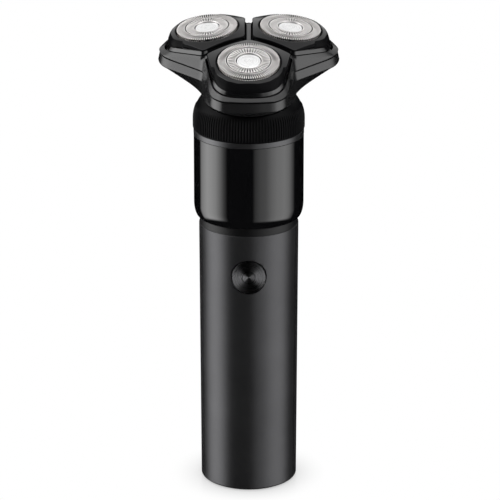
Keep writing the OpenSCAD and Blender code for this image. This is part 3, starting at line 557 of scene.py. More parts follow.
class Tree:
    """A material's or group's nodes, added and wired by name."""

    def __init__(self, tree):
        self.tree = tree

    def add(self, kind, values=None, **settings):
        node = self.tree.nodes.new("ShaderNode" + kind)
        for key, value in settings.items():
            setattr(node, key, value)
        for key, value in (values or {}).items():
            self.feed(node, key, value)
        return node

    def feed(self, node, key, value):
        socket = node.inputs[key]
        if isinstance(value, bpy.types.NodeSocket):
            self.tree.links.new(value, socket)
        else:
            socket.default_value = value

    def math(self, operation, *values, **settings):
        return self.add("Math", dict(enumerate(values)), operation=operation, **settings).outputs[0]

    def mapped(self, value, *limits, kind="LINEAR"):
        """Maps a value; the limits are from least, from most, to least and to most."""
        limits = dict(zip(("From Min", "From Max", "To Min", "To Max"), limits))
        return self.add("MapRange", {"Value": value, **limits}, interpolation_type=kind).outputs[0]

    def mixed(self, share, first, second, blend="MIX"):
        """Mixes two colours."""
        return self.add("Mix", {0: share, 6: first, 7: second}, data_type="RGBA", blend_type=blend).outputs[2]

    def noise(self, where, scale, detail, roughness=0.5):
        return self.add("TexNoise", {"Vector": where, "Scale": scale, "Detail": detail,
                                     "Roughness": roughness}).outputs["Fac"]

    def place(self):
        return self.add("TexCoord").outputs["Object"]

    def roughened(self, given, wander):
        """Roughness that swings about a middle value."""
        swing = self.math("MULTIPLY", wander, given["Swing"])
        return self.math("ADD", given["Roughness"], swing, use_clamp=True)


def shared_group(name, inputs, build):
    """A shader node group with a colour, a roughness and a height; made on first use."""
    made = bpy.data.node_groups.get(name)
    if made:
        return made
    made = bpy.data.node_groups.new(name, "ShaderNodeTree")
    results = ("Colour", "Roughness", "Height")
    for way, keys in (("INPUT", ("Colour", "Roughness", *inputs)), ("OUTPUT", results)):
        for key in keys:
            kind = "NodeSocketColor" if key == "Colour" else "NodeSocketFloat"
            made.interface.new_socket(key, in_out=way, socket_type=kind)
    tree = Tree(made)
    given, result = made.nodes.new("NodeGroupInput"), made.nodes.new("NodeGroupOutput")
    for key, socket in zip(results, build(tree, given.outputs)):
        tree.feed(result, key, socket)
    return made


def grain(tree, given):
    """Fine moulded or blasted grain: a height and a roughness that wander about a middle value."""
    where = tree.place()
    wander = tree.math("SUBTRACT", tree.noise(where, given["Cloud Scale"], 4.0, 0.55), 0.5)
    shade = tree.math("MULTIPLY_ADD", wander, 0.5, 1.0)
    return (tree.mixed(1.0, given["Colour"], shade, "MULTIPLY"), tree.roughened(given, wander),
            tree.noise(where, given["Grain Scale"], 3.0, 0.6))


def turned_rings(tree, given):
    """Fine rings left by turning, read from the turning map, with painted shade: dimmed sectors and a dark ring."""
    parts = tree.add("SeparateXYZ", {0: tree.add("UVMap", uv_map="turning").outputs["UV"]})
    around, out = parts.outputs["X"], parts.outputs["Y"]
    spot = tree.add("CombineXYZ", {"X": tree.math("MULTIPLY", around, 3.0),
                                   "Y": tree.math("MULTIPLY", out, given["Rings"])})
    noise = tree.noise(spot.outputs[0], 1.0, 2.0)
    wander = tree.math("SUBTRACT", noise, 0.5)
    # Painted shade: the sectors above and below the middle are dimmed, standing in for the fan-shaped highlights of
    # spun metal.
    wave = tree.math("COSINE", tree.math("MULTIPLY", around, 2 * TURN))
    painted_sectors = tree.mapped(wave, -0.6, 0.8, 1.0, 0.0, kind="SMOOTHSTEP")
    painted_sector_shade = tree.math("SUBTRACT", 1.0, tree.math("MULTIPLY", painted_sectors, given["Painted Sector Shade"]))
    tone_and_painted_shade = tree.math("MULTIPLY", tree.math("MULTIPLY_ADD", wander, given["Shade"], 1.0), painted_sector_shade)
    # Painted shade: a dark ring at the given radius stands in for the shade in a groove or at a recess's edge.
    painted_groove_shade = tree.math("COMPARE", out, given["Line"], given["Line Half"])
    colour = tree.mixed(1.0, given["Colour"], tone_and_painted_shade, "MULTIPLY")
    return tree.mixed(painted_groove_shade, colour, (0.01, 0.01, 0.01, 1)), tree.roughened(given, wander), noise


def blank(name):
    material = bpy.data.materials.new(name)
    material.use_nodes = True
    return material, Tree(material.node_tree), material.node_tree.nodes["Principled BSDF"]


def show(material, tree, shader):
    tree.feed(material.node_tree.nodes["Material Output"], "Surface", shader.outputs[0])


def surface(name, group_name, build, colour, roughness, inputs, bump, relief, constants):
    """A material with a shared group's colour, roughness and relief; constants go on the shader's own sockets."""
    material, tree, shader = blank(name)
    values = {"Colour": (*colour, 1), "Roughness": roughness, **inputs}
    node = tree.add("Group", values, node_tree=shared_group(group_name, inputs, build))
    bumps = tree.add("Bump", {"Height": node.outputs["Height"], "Strength": bump, "Distance": relief})
    for key, value in (("Base Color", node.outputs["Colour"]), ("Roughness", node.outputs["Roughness"]),
                       ("Normal", bumps.outputs["Normal"]), *constants.items()):
        tree.feed(shader, key, value)
    return material


def moulded(name):
    """A moulded, blasted or painted surface, from its row; words in the row are values of the finish group."""
    if name in bpy.data.materials:
        return bpy.data.materials[name]
    values = bpy.context.scene.shaver_finish
    colour, roughness, swing, scale, bump, other = (
        getattr(values, value) if isinstance(value, str) else value for value in MOULDED[name])
    edge = other.get("edge", 1.0)
    return surface(name, "Moulded Grain", grain, colour, roughness,
                   {"Grain Scale": scale, "Cloud Scale": 60, "Swing": swing}, bump, 0.0002,
                   {"Metallic": other.get("metallic", 0.0), "Specular IOR Level": other.get("gloss", 0.5),
                    "Specular Tint": (edge, edge, edge, 1)})


def turned_metal(name, colour, roughness, rings, swing, shade, bump, anisotropy=0.0, line=(-1, 0), painted_sector_shade=0.0):
    """Metal turned on a lathe: fine rings and, where given, painted shade: a dark ring of (radius, half width) and
    dimmed sectors.
    """
    if name in bpy.data.materials:
        return bpy.data.materials[name]
    material = surface(
        name, "Turned Rings", turned_rings, getattr(bpy.context.scene.shaver_finish, colour), roughness,
        {"Rings": rings, "Swing": swing, "Shade": shade, "Line": line[0] / MAP_SCALE,
         "Line Half": line[1] / MAP_SCALE, "Painted Sector Shade": painted_sector_shade}, bump, 0.0001,
        {"Metallic": 1.0, "Anisotropic": anisotropy, "Anisotropic Rotation": 0.25})
    tree = Tree(material.node_tree)
    tangent = tree.add("Tangent", direction_type="UV_MAP", uv_map="turning")
    tree.feed(material.node_tree.nodes["Principled BSDF"], "Tangent", tangent.outputs[0])
    return material


def cap_steel():
    r = head_values().cap_d / 2
    # The dark ring is painted shade in the floor of the cap's groove.
    return turned_metal("Cap Steel", "steel", 0.42, rings=900, swing=0.15, shade=0.25, bump=0.05,
                        line=(CAP_GROOVE * r, 0.21 * MM))


def bright_disc():
    return turned_metal("Bright Disc", "bright", 0.28, rings=130, swing=0.2, shade=0.35, bump=0.12)


def button_metal():
    # The dimmed sectors are painted shade standing in for the spun face's highlights; the dark ring is painted shade
    # at the dimple's edge.
    return turned_metal("Button Metal", "button", 0.28, rings=300, swing=0.1, shade=0.7, bump=0.05,
                        anisotropy=0.9, painted_sector_shade=0.75, line=(2.3 * MM, 0.1 * MM))


class Piece(bpy.types.Operator):
    """Shared by the shaver's operators"""
    bl_options = {"REGISTER", "UNDO"}


class SHAVER_OT_stage(Piece):
    """Sets out the floor, the lamps and the camera"""
    bl_idname = "shaver.stage"
    bl_label = "Stage"

    def execute(self, context):
        stage = context.scene.shaver_stage
        floor = edited(primitive("plane", "floor", size=6), "subdivide", number_cuts=4)
        floor.data.materials.append(self.floor_material(stage))
        floor.visible_glossy = False
        self.light_dome()
        self.world(context.scene)
        self.lamp()
        self.camera(context.scene, stage)
        context.scene.view_settings.view_transform = "Standard"
        return {"FINISHED"}

    @staticmethod
    def floor_material(stage):
        """Pale gloss near the foot; further out the camera sees it as an even white sweep."""
        material, tree, shader = blank("Studio Floor")
        where = tree.place()
        shader.inputs["Base Color"].default_value = (*stage.floor, 1)
        tree.feed(shader, "Roughness", tree.mapped(tree.noise(where, 40.0, 3.0), 0, 1, 0.16, 0.24))
        out = tree.add("VectorMath", {0: where}, operation="LENGTH")
        far = tree.mapped(out.outputs["Value"], 0.004, 0.03, kind="SMOOTHSTEP")
        seen = tree.math("MULTIPLY", far, tree.add("LightPath").outputs["Is Camera Ray"])
        sweep = tree.add("Emission", {"Color": (1, 1, 1, 1), "Strength": 1.0})
        show(material, tree, tree.add("MixShader", {0: seen, 1: shader.outputs[0], 2: sweep.outputs[0]}))
        return material

    @staticmethod
    def light_dome():
        """Soft boxes to the left and right, black between and behind, white overhead; seen only in the gloss."""
        dome = primitive("uv_sphere", "light_dome", segments=48, ring_count=24, radius=4)
        material, tree, _ = blank("Light Dome")
        way = tree.add("VectorMath", {0: tree.place()}, operation="NORMALIZE")
        parts = tree.add("SeparateXYZ", {0: way.outputs["Vector"]})
        turn = tree.math("ARCTAN2", parts.outputs["X"], tree.math("MULTIPLY", parts.outputs["Y"], -1.0))
        rise = tree.math("ARCSINE", parts.outputs["Z"])
        ramp = tree.add("ValToRGB", {"Fac": tree.mapped(turn, -math.pi, math.pi)})
        while len(ramp.color_ramp.elements) < len(DOME_LEVELS):
            ramp.color_ramp.elements.new(0.5)
        for element, (degrees, level) in zip(ramp.color_ramp.elements, DOME_LEVELS):
            element.position = (degrees + 180) / 360
            element.color = (*[level / DOME_PEAK] * 3, 1)
        standing = tree.mapped(rise, math.radians(-36), math.radians(-28), 0, DOME_PEAK, kind="SMOOTHSTEP")
        boxes = tree.math("MULTIPLY", ramp.outputs["Color"], standing)
        edge = tree.mapped(tree.math("ABSOLUTE", turn), *(math.radians(a) for a in (112, 126, 65, 14)))
        open_sky = tree.mapped(tree.math("SUBTRACT", rise, edge), math.radians(-3), math.radians(3),
                               kind="SMOOTHSTEP")
        level = tree.add("Mix", {0: open_sky, 2: boxes, 3: 1.0})
        show(material, tree, tree.add("Emission", {"Color": (1, 1, 1, 1), "Strength": level.outputs[0]}))
        material.cycles.emission_sampling = "NONE"
        dome.data.materials.append(material)
        for rays in ("camera", "diffuse", "shadow", "transmission"):
            setattr(dome, "visible_" + rays, False)
        return dome

    @staticmethod
    def world(scene):
        """White to the camera and in the gloss, a little dimmer as light."""
        world = scene.world = bpy.data.worlds.new("Studio")
        world.use_nodes = True
        tree = Tree(world.node_tree)
        path = tree.add("LightPath").outputs
        seen = tree.math("MAXIMUM", path["Is Camera Ray"], path["Is Glossy Ray"])
        level = tree.mapped(tree.math("MAXIMUM", seen, path["Is Transmission Ray"]), 0, 1, 0.75, 1.0)
        background = world.node_tree.nodes["Background"]
        tree.feed(background, "Strength", level)
        tree.feed(background, "Color", (1, 1, 1, 1))

    @staticmethod
    def lamp():
        """A broad lamp above."""
        light = bpy.data.lights.new("overhead", "AREA")
        light.shape = "RECTANGLE"
        light.size, light.size_y = 1.6, 1.2
        light.energy = 6.0
        lamp = bpy.data.objects.new("overhead", light)
        bpy.context.scene.collection.objects.link(lamp)
        lamp.location = (-0.2, -0.1, 1.5)
        lamp.visible_camera = False

    @staticmethod
    def camera(scene, stage):
        data = bpy.data.cameras.new("camera")
        data.lens = stage.focal
        data.sensor_width = 36
        camera = bpy.data.objects.new("camera", data)
        scene.collection.objects.link(camera)
        target = Vector((0.44, 0, 88)) * MM
        back = Vector((0, -math.cos(stage.elevation), math.sin(stage.elevation)))
        camera.location = target + back * stage.distance
        camera.rotation_euler = (-back).to_track_quat("-Z", "Y").to_euler()
        scene.camera = camera


class SHAVER_OT_tube(Piece):
    """Turns the handle's tube and cuts the button's opening"""
    bl_idname = "shaver.tube"
    bl_label = "Handle Tube"

    def execute(self, context):
        h = context.scene.shaver_handle
        top_r, low_r, top, foot_r, foot = (mm(v) for v in (h.tube_top_d / 2, h.tube_low_d / 2, h.tube_top_z,
                                                           h.foot_d / 2, h.foot_h))
        low, bend, soft, skin, bore, steps = 1.05, 0.65, 0.35, 1.6, 13.05, 40
        edge = [(low_r - bend + bend * math.sin(a), low - bend * math.cos(a)) for a in quarter(8)]
        wall = [(low_r + (top_r - low_r) * k / steps, low + (top - soft - low) * k / steps) for k in range(1, steps)]
        profile = edge + wall + eased([(top_r, top, soft), (top_r - skin, top), (low_r - skin, foot + 3.6),
                                       (bore, foot + 3.6), (bore, foot + 0.1), (foot_r + 0.12, foot + 0.1),
                                       (foot_r + 0.12, low - bend)])
        tube = turned("tube_shell", profile, 192)
        cutter = primitive("cylinder", "button_cutter", vertices=96, radius=h.button_d / 2 + h.button_gap,
                           depth=20 * MM, location=(0, -top_r * MM, h.button_z), rotation=(math.pi / 2, 0, 0))
        apply_modifier(tube, "BOOLEAN", operation="DIFFERENCE", object=cutter, solver="EXACT")
        bpy.data.objects.remove(cutter)
        finish_piece(smooth(bevelled(tube, 0.12, 60)), "handle", "handle_metal", moulded("Satin Tube"), "handle_tube")
        return {"FINISHED"}


class SHAVER_OT_foot(Piece):
    """Finishes the foot, its screws and the charging socket"""
    bl_idname = "shaver.foot"
    bl_label = "Foot"

    def execute(self, context):
        h = context.scene.shaver_handle
        rim_r, foot_r = mm(h.tube_low_d) / 2 - 1.15, mm(h.foot_d) / 2
        rim = turned("foot_rim", eased([(foot_r - 0.2, 0.02), (rim_r, 0.02, 0.1), (rim_r, 0.3, 0.1),
                                        (foot_r - 0.2, 0.3)]), 192)
        cap = joined("foot_disc", [from_solid("base_cap", "foot_disc", 0.08), smooth(rim)])
        finish_piece(cap, "handle", "base_plastic", moulded("Plain Black"), "base_cap")
        for node, slot in (("base_screws", "screw_steel"), ("charge_socket", "socket_steel")):
            finish_piece(from_solid(node, node + "_finish"), "handle", slot, moulded("Bright Steel"), node)
        dress(moulded("Plain Black"), "base_seal", "charge_tongue")
        return {"FINISHED"}


class SHAVER_OT_button(Piece):
    """Turns the push button and its spun face"""
    bl_idname = "shaver.button"
    bl_label = "Button"

    def execute(self, context):
        h = context.scene.shaver_handle
        r, z = mm(h.button_d) / 2, mm(h.button_z)
        front = mm(h.tube_low_d) / 2 + (mm(h.tube_top_d) - mm(h.tube_low_d)) / 2 * z / mm(h.tube_top_z) + 0.15
        dimple = mm(h.dimple_d) / 2
        lens = [(dimple * (1 - k / 8), front - 0.22 + 0.1 * (1 - math.cos(math.radians(90 * (1 - k / 8)))))
                for k in range(1, 9)]
        face = turned("button_disc", [(0, front - 0.6), (r - 0.1, front - 0.6), (r - 0.1, front), (r - 1.2, front),
                                      (dimple + 0.03, front), (dimple, front - 0.12)] + lens, 96)
        turning_map(face)
        place(face, Matrix.Translation((0, 0, h.button_z)) @ Matrix.Rotation(math.pi / 2, 4, "X"))
        finish_piece(smooth(face), "button", "button_metal", button_metal(), "button_face")
        dress(moulded("Plain Black"), "power_button")
        return {"FINISHED"}


class SHAVER_OT_sleeve(Piece):
    """Turns the dark ring, the gloss sleeve and the trim ring"""
    bl_idname = "shaver.sleeve"
    bl_label = "Sleeve"

    def execute(self, context):
        h = context.scene.shaver_handle
        tube_r, tube_top, z, r, trim, collar = (mm(v) for v in (h.tube_top_d / 2, h.tube_top_z, h.sleeve_z,
                                                                h.sleeve_d / 2, h.trim_z, h.collar_z))
        spigot = tube_r - 1.65
        joint = turned("joint_band", [(spigot - 1.3, tube_top - 5), (spigot, tube_top - 5), (spigot, tube_top),
                                      (tube_r - 0.25, tube_top), (tube_r - 0.25, z), (spigot + 0.4, z),
                                      (spigot + 0.4, z + 3.6), (spigot - 1.3, z + 3.6)], 160)
        finish_piece(smooth(joint), "handle", "black_plastic", moulded("Plain Black"), "joint_ring")
        foot_r, bend = tube_r + 0.2, 5.1
        edge = [(foot_r + (r - foot_r) * math.sin(a), z + bend * (1 - math.cos(a))) for a in quarter(14)]
        sleeve = turned("gloss_sleeve", [(spigot + 0.4, z)] + edge
                        + eased([(r, trim, 0.2), (r - 1.6, trim), (r - 1.6, z + 6.1), (spigot + 0.4, z + 3.6)]), 192)
        finish_piece(smooth(sleeve), "handle", "gloss_black", moulded("Gloss Black"), "upper_sleeve")
        band = turned("trim_band", eased([(r - 2.6, trim - 3), (r - 1.6, trim - 3), (r - 1.6, trim),
                                          (r + 0.05, trim, 0.2), (r + 0.05, collar, 0.25), (r - 2.6, collar)]), 192)
        finish_piece(smooth(band), "handle", "trim_satin", moulded("Trim Grey"), "trim_ring")
        return {"FINISHED"}


class SHAVER_OT_collar(Piece):
    """Turns the domed collar, cuts it along the neck plane and sets its ribs and neck stub"""
    bl_idname = "shaver.collar"
    bl_label = "Ribbed Collar"

    def execute(self, context):
        h, head = context.scene.shaver_handle, context.scene.shaver_head
        foot, r = mm(h.collar_z), mm(h.sleeve_d) / 2 + 0.05
        dome = self.dome(foot, r, head)
        ribs = round_copies(self.rib(foot, r), h.rib_count, "collar_ribs")
        cut = mm(head.collar_cut)
        stub = turned("neck_stub", eased([(6, cut - 1), (14.3, cut - 1), (14.3, cut - 0.03), (9, cut - 0.03),
                                          (9, cut + 3.4, 0.5), (6, cut + 3.4, 0.4)]), 96)
        place(stub, head_matrix())
        collar = smooth(joined("ribbed_collar", [dome, ribs, stub]))
        finish_piece(collar, "handle", "collar_matte", moulded("Matte Black"), "neck_collar")
        dress(moulded("Plain Black"), "neck_seal")
        return {"FINISHED"}

    @staticmethod
    def arc(foot, r, bend, a):
        """A point of the collar's shoulder."""
        return (r - COLLAR_BEND + bend * math.cos(a), foot + COLLAR_WALL + bend * math.sin(a))

    def dome(self, foot, r, head):
        outer = [self.arc(foot, r, COLLAR_BEND, a) for a in quarter(28)]
        inner = [self.arc(foot, r, COLLAR_BEND - COLLAR_SKIN, a) for a in reversed(quarter(12))]
        profile = [(r - COLLAR_SKIN, foot), (r - 0.15, foot), (r - 0.04, foot + 0.04), (r, foot + 0.15)] + outer
        top = foot + COLLAR_WALL + COLLAR_BEND
        profile += [(0, top), (0, top - COLLAR_SKIN)] + inner
        dome = turned("collar_dome", profile, 192)
        edited(dome, "bisect", plane_co=head_matrix() @ Vector((0, 0, head.collar_cut)),
               plane_no=head_matrix().to_3x3() @ Vector((0, 0, 1)), use_fill=True, clear_outer=True)
        return close_up(bevelled(dome, 0.2, 30))

    def rib(self, foot, r):
        """One rib, drawn as a strip along the wall and the shoulder and drawn out to a rounded ridge."""
        rise, ridge, across_share = math.asin(5.2 / COLLAR_BEND), 0.28, 0.62
        line = [(r, foot + 0.35), (r, foot + 0.6), (r, foot + 2.0)]
        line += [self.arc(foot, r, COLLAR_BEND, rise * k / 7) for k in range(8)]
        rib = primitive("grid", "collar_rib", x_subdivisions=4, y_subdivisions=len(line) - 1, size=1)
        half = math.pi / bpy.context.scene.shaver_handle.rib_count * across_share
        for vert in rib.data.vertices:
            along, across = round((vert.co.y + 0.5) * (len(line) - 1)), round((vert.co.x + 0.5) * 4) / 2 - 1
            out, height = line[along]
            lift = ridge * (1 - across * across) if 0 < along < len(line) - 1 else 0
            turn = half * across
            reach = (out + lift - 0.02) * MM
            vert.co = (reach * math.cos(turn), reach * math.sin(turn), height * MM)
        return rib


class SHAVER_OT_shell(Piece):
    """Lofts the head's lower shell and its frame, and sets the bars between the lobes"""
    bl_idname = "shaver.shell"
    bl_label = "Head Shell"

    def execute(self, context):
        self.chamber(context.scene.shaver_head)
        self.frame_ring(context.scene.shaver_head)
        bars = from_solid("centre_spider", "divider_bars", 0.2)
        finish_piece(bars, "head", "spider_grey", moulded("Bar Grey"), "centre_spider")
        return {"FINISHED"}

    @staticmethod
    def chamber(head):
        """The lower band and the sloping underside, down to the neck and its bore."""
        full = head_radii(frame_outline())
        neck, bore, q = mm(head.neck_d) / 2, 9.08, mm(head.cap_q)
        low, top, neck_q = q - 12.8, q - 9.2, mm(head.collar_cut) + 0.4
        def level(inset, height):
            return round_ring([f - inset for f in full], height)
        def slope(inset, share, height):
            return round_ring([f - inset + (neck - f) * share for f in full], height)
        def circle(r, height):
            return round_ring([r] * HEAD_STEPS, height)
        rings = [level(1.9, top + 0.6), level(1.5, top + 0.6), level(1.5, top), level(0.85, top),
                 level(0.68, top - 0.06), level(0.6, top - 0.2), level(0.1, top - 2.7), level(0, top - 3.1),
                 level(0.06, low + 0.25), level(0.25, low + 0.02), level(0.6, low - 0.1)]
        start, end = low - 0.1, neck_q + 0.5
        rings += [slope(0.6, k / 8, start + (end - start) * k / 8) for k in range(1, 8)]
        rings += [circle(neck, end), circle(neck - 0.1, neck_q + 0.1), circle(neck - 0.4, neck_q),
                  circle(bore, neck_q), circle(bore, neck_q + 1.5), circle(neck - 1.5, neck_q + 1.5), level(2.3, low),
                  level(1.5, low + 1.8)]
        shell = place(smooth(lofted("chamber_loft", rings)), head_matrix())
        finish_piece(shell, "head", "head_gloss", moulded("Head Black"), "chamber_shell")

    @staticmethod
    def frame_ring(head):
        """The upper band, whose top follows the lobes' feet."""
        turns = [360 * i / HEAD_STEPS for i in range(HEAD_STEPS)]
        notch, lean, drop = 17.05, 0.125, 1.5
        inner = [max(r, notch) for r in head_radii(lobe_outline(0.5), 1, 1)]
        full = head_radii(frame_outline())
        outer = [max(f - 0.4, i + 0.45) for f, i in zip(full, inner)]
        low = mm(head.cap_q) - 8.7
        outs = [r * math.cos(math.radians(t - nearest_lobe(t))) - cap_circle() for r, t in zip(inner, turns)]
        tops = softened([tilted_height(r, t, sill(out, -5.85)) for r, t, out in zip(inner, turns, outs)], 3)
        brims = [max(low + 0.25, top - drop) for top in tops]
        def drawn_in(share):
            return [o - lean * (b - low) * share for o, b in zip(outer, brims)]
        def wall(share):
            return round_ring(drawn_in(share), [low + 0.2 + (b - low - 0.2) * share for b in brims])
        def slope(share):
            starts = drawn_in(1)
            radii = [o + (i + 0.1 - o) * share for i, o in zip(inner, starts)]
            return round_ring(radii, [b + (top - b) * share for top, b in zip(tops, brims)])
        def under(depth):
            return round_ring(inner, [top - depth for top in tops])
        rings = [round_ring([o - inset for o in outer], height)
                 for inset, height in ((1.0, low), (0.2, low), (0.06, low + 0.05))]
        rings += [wall(share) for share in (0, 0.5, 0.95)] + [slope(share) for share in (0.03, 0.5, 0.93, 1)]
        rings += [under(0.08), under(0.35), round_ring(inner, low)]
        band = place(smooth(lofted("frame_loft", rings)), head_matrix())
        finish_piece(band, "head", "head_gloss", moulded("Head Black"), "head_frame")


class SHAVER_OT_lobes(Piece):
    """Lofts one rocking lobe about its cap's axis and copies it"""
    bl_idname = "shaver.lobes"
    bl_label = "Lobes"

    def execute(self, context):
        first = self.lobe(context.scene.shaver_head)
        tops, shaded_walls = ([face.index for face in first.data.polygons if test(face)]
                       for test in (self.is_shaded_top, self.is_shaded_wall))
        for lobe, degrees in LOBES.items():
            piece = place(copy_of(first, "lobe_shell_" + lobe), lobe_matrix(degrees))
            finish_piece(piece, "lobe_" + lobe, "lobe_gloss", moulded("Lobe Black"), "lobe_plate_" + lobe)
            # Painted shade: the tops and walls get copies of the lobe's black that reflect less, so that they look
            # darker.
            second_finish(piece, moulded("Shaded Top Black"), tops)
            second_finish(piece, moulded("Shaded Wall Black"), shaded_walls)
        bpy.data.objects.remove(first)
        return {"FINISHED"}

    @staticmethod
    def is_shaded_top(face):
        return face.normal.z > 0.75 and face.center.z > -2.6 * MM

    @staticmethod
    def is_shaded_wall(face):
        """Whether a face belongs to the upright wall above or below the lit strip, to the wall at the inner end by
        the gaps, or to the edge round the cap; these faces get painted shade.
        """
        spot, way = face.center / MM, face.normal
        if spot.xy.length < SEAT_EDGE:
            return True
        outward = way.x * spot.x + way.y * spot.y > 0 and -0.5 < way.z < 0.75
        return outward and spot.z < -0.8 and (
            spot.z > sill(spot.x, LOBE_EDGE) or spot.z < sill(spot.x, LOBE_STRIP - 0.01) or spot.x < GAP_START)

    @staticmethod
    def sunk(points, depth):
        """An outline drawn on the head's plane, met by the lobe's tilted plane at its foot."""
        tilt = head_values().lobe_tilt
        return [Vector(((p.x - sill(p.x, depth) * math.sin(tilt)) / math.cos(tilt), p.y)) for p in points]

    def lobe(self, head):
        """Ring by ring: the cap's seat, sloping top, bulging wall, lit strip and underside; then the pins' ears."""
        cap_r = mm(head.cap_d) / 2
        crown, slant, bulge = cap_r + 0.9, 0.3, 0.5
        turns = [360 * i / LOBE_STEPS for i in range(LOBE_STEPS)]
        def radii(points):
            return softened([reach_at(points, Vector((0, 0)), t) for t in turns], 2)
        edge = radii(self.sunk(lobe_outline(-0.6), LOBE_EDGE))
        strip = radii(self.sunk(lobe_outline(0), LOBE_STRIP))
        # The brow stays inside the foot at the outer end
        limits = [e - 0.6 if math.cos(math.radians(t)) > 0.2 else e + 1 for e, t in zip(edge, turns)]
        brow = [max(min(b, most), crown + 0.1) for b, most in zip(radii(brow_outline()), softened(limits, 2))]
        edge_depths = [sill(polar(r, t).x, LOBE_EDGE) for r, t in zip(edge, turns)]
        strip_depths = [sill(polar(r, t).x, LOBE_STRIP) for r, t in zip(strip, turns)]
        def level(depth, inset=0.0):
            return round_ring([r - inset for r in strip], depth)
        def circle(r, depth):
            return round_ring([r] * LOBE_STEPS, depth)
        def on_top(share):
            values = [crown + (b - crown) * share for b in brow]
            return round_ring(values, [LOBE_TOP - slant * (r - crown) for r in values])
        def on_wall(share):
            values = [b + (e - b) * share + bulge * math.sin(math.pi * share) for b, e in zip(brow, edge)]
            starts = [LOBE_TOP - slant * (b - crown) for b in brow]
            return round_ring(values, [d + (e - d) * share for d, e in zip(starts, edge_depths)])
        def on_strip(share):
            return round_ring([e + (f - e) * share for e, f in zip(edge, strip)],
                              [e + (f - e) * share for e, f in zip(edge_depths, strip_depths)])
        rings = [circle(cap_r + 0.45, -2.25), circle(cap_r + 0.45, -0.95), circle(cap_r + 0.5, -0.82),
                 circle(cap_r + 0.62, LOBE_TOP), circle(cap_r + 0.8, LOBE_TOP)]
        rings += [on_top(share) for share in (0.0, 0.12, 0.5, 0.88, 0.97)]
        rings += [on_wall(share) for share in (0.02, 0.06, 0.3, 0.6, 0.93, 0.98)]
        rings += [on_strip(share) for share in (0.06, 0.15, 0.5, 0.85, 0.96)]
        rings += [round_ring(strip, [d - 0.06 for d in strip_depths]), level(-5.85), level(-5.95, 0.05),
                  level(-6.0, 0.2), circle(cap_r + 1.55, -6.0), circle(cap_r + 1.55, -6.9),
                  circle(cap_r + 0.75, -6.9), circle(cap_r + 0.75, -2.25)]
        shell = lofted("lobe_shell", rings)
        ears = []
        for side in (-1, 1):
            ear = primitive("cylinder", "lobe_ear", vertices=32, radius=1.4 * MM, depth=1.3 * MM,
                            rotation=(math.pi / 2, 0, 0), location=(0, side * (cap_r + 1.4) * MM, -7.6 * MM))
            edited(ear, "bevel", offset=0.1 * MM, segments=2)
            bpy.ops.object.transform_apply(location=True, rotation=True, scale=True)
            ears.append(ear)
        return smooth(joined("lobe_shell", [shell, *ears]), 40)


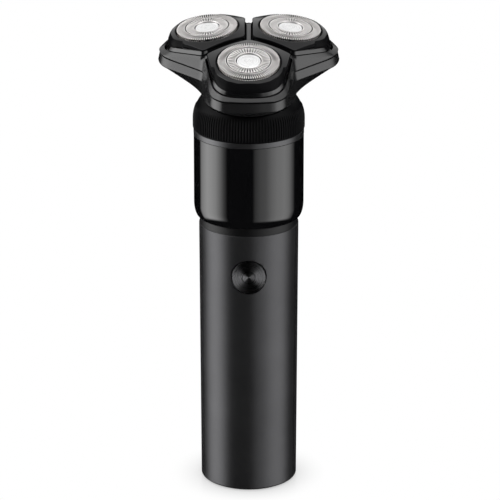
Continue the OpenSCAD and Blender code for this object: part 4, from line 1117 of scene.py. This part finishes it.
class SHAVER_OT_caps(Piece):
    """Builds one slotted cap and its bright disc and copies them"""
    bl_idname = "shaver.caps"
    bl_label = "Caps"

    def execute(self, context):
        head = context.scene.shaver_head
        cap, disc = self.cap(head), self.disc(head)
        # Painted shade: the cap's outer side gets a darker copy of the steel, standing in for the shade on it.
        side = [face.index for face in cap.data.polygons
                if face.center.xy.length > head.cap_d / 2 - 0.3 * MM and face.center.z < -0.4 * MM]
        for lobe, degrees in LOBES.items():
            made = place(copy_of(cap, "slotted_cap_" + lobe), lobe_matrix(degrees))
            finish_piece(made, "lobe_" + lobe, "cap_steel", cap_steel(), "shaving_cap_" + lobe)
            second_finish(made, moulded("Dark Steel And Painted Shade"), side)
            made = place(copy_of(disc, "bright_disc_" + lobe), lobe_matrix(degrees))
            finish_piece(made, "lobe_" + lobe, "disc_bright", bright_disc(), "cap_disc_" + lobe)
            dress(moulded("Dark Steel And Painted Shade"), "cutter_" + lobe)
            dress(moulded("Plain Black"), "cap_retainer_" + lobe)
        bpy.data.objects.remove(cap)
        bpy.data.objects.remove(disc)
        return {"FINISHED"}

    @staticmethod
    def bar(name, profile, count, slot):
        """One bar between two slots: a cross-section of (radius, height) drawn out to the next slot, edges broken."""
        bar = profile_ring(name, profile)
        edit(bar)
        bpy.ops.mesh.edge_face_add()
        bpy.ops.mesh.extrude_region_move(TRANSFORM_OT_translate={"value": (0, MM, 0)})
        bpy.ops.mesh.select_all(action="SELECT")
        bpy.ops.mesh.normals_make_consistent(inside=False)
        leave()
        for vert in bar.data.vertices:
            half = math.pi * vert.co.x / count - slot / 2 * MM
            vert.co.y = half if vert.co.y > 0.5 * MM else -half
        return edited(bar, "bevel", offset=0.05 * MM, segments=1)

    def cap(self, head):
        r, disc = mm(head.cap_d) / 2, mm(head.disc_d) / 2
        groove, under = CAP_GROOVE * r, -0.55
        inner = self.bar("inner_bar", [(disc + 0.3, 0), (groove - 0.35, 0), (groove - 0.35, under),
                                       (disc + 0.3, under)], head.inner_slots, INNER_SLOT)
        outer = self.bar("outer_bar", [(groove + 0.35, 0), (r - 0.35, 0), (r - 0.1, -0.1), (r, -0.35), (r, -1.35),
                                       (r - 0.6, -1.35), (r - 0.6, under), (groove + 0.35, under)],
                         head.outer_slots, OUTER_SLOT)
        bars = [round_copies(inner, head.inner_slots, "inner_bars"),
                round_copies(outer, head.outer_slots, "outer_bars")]
        hub = turned("cap_hub", eased([(disc + 0.12, under), (disc + 0.45, under), (disc + 0.45, 0, 0.06),
                                       (disc + 0.12, 0, 0.1)]), 96)
        ridge = turned("cap_ridge", eased([(groove - 0.42, under), (groove + 0.42, under), (groove + 0.42, 0, 0.06),
                                           (groove + 0.2, 0, 0.06), (groove + 0.2, -0.3), (groove - 0.2, -0.3),
                                           (groove - 0.2, 0, 0.06), (groove - 0.42, 0, 0.06)]), 128)
        wall = turned("cap_wall", [(r - 0.6, -1.25), (r, -1.25), (r, -2.25), (r + 0.65, -2.25), (r + 0.65, -3.2),
                                   (r - 0.6, -3.2)], 128)
        return smooth(turning_map(joined("slotted_cap", [*bars, hub, ridge, wall])), 40)

    @staticmethod
    def disc(head):
        r = mm(head.disc_d) / 2 - 0.22
        under, rim = -0.55, -0.36
        dome = [(r * (1 - k / 14), 0.2 * (1 - (1 - k / 14) ** 2) + rim) for k in range(15)]
        profile = [(0, -1.9), (0.8, -1.9), (0.8, under), (r, under)]
        profile += eased([(r, under), (r, rim, 0.06), dome[1]])[1:-1]
        return smooth(turning_map(turned("bright_disc", profile + dome[1:], 128)), 40)


class SHAVER_OT_inside(Piece):
    """Finishes the pieces inside the handle and the head"""
    bl_idname = "shaver.inside"
    bl_label = "Inside"

    def execute(self, context):
        dress(moulded("Inner Grey"), "chassis", "motor_mount", "gear_plate", "gear_cover")
        dress(moulded("Gear White"), "drive_coupling", "sun_gear", *("drive_gear_" + lobe for lobe in LOBES))
        dress(moulded("Bright Steel"), "cell_tabs", "board_screws", "motor_can", "motor_screws", "motor_shaft",
              "motor_rotor", "gear_screws")
        dress(moulded("Dark Steel And Painted Shade"), "lobe_pins")
        dress(moulded("Cell Wrap"), "battery_cell")
        dress(moulded("Board Green"), "circuit_board")
        dress(moulded("Plain Black"), "board_switch")
        return {"FINISHED"}


OPERATORS = (SHAVER_OT_stage, SHAVER_OT_tube, SHAVER_OT_foot, SHAVER_OT_button, SHAVER_OT_sleeve, SHAVER_OT_collar,
             SHAVER_OT_shell, SHAVER_OT_lobes, SHAVER_OT_caps, SHAVER_OT_inside)


class SHAVER_PT_panel(bpy.types.Panel):
    """Lists the shaver's operators and values"""
    bl_idname = "SHAVER_PT_panel"
    bl_label = "Shaver"
    bl_space_type = "VIEW_3D"
    bl_region_type = "UI"
    bl_category = "Shaver"

    def draw(self, context):
        for operator in OPERATORS:
            self.layout.operator(operator.bl_idname)
        for key, kind in GROUPS.items():
            box = self.layout.box()
            for name in kind.__annotations__:
                box.prop(getattr(context.scene, key), name)


def register():
    for kind in (*GROUPS.values(), *OPERATORS, SHAVER_PT_panel):
        bpy.utils.register_class(kind)
    for key, kind in GROUPS.items():
        setattr(bpy.types.Scene, key, PointerProperty(type=kind))


def unregister():
    for key in GROUPS:
        delattr(bpy.types.Scene, key)
    for kind in (SHAVER_PT_panel, *reversed(OPERATORS), *reversed(GROUPS.values())):
        bpy.utils.unregister_class(kind)


def main():
    register()
    for operator in OPERATORS:
        name = operator.bl_idname.split(".")[1]
        getattr(bpy.ops.shaver, name)()


if __name__ == "__main__":
    main()
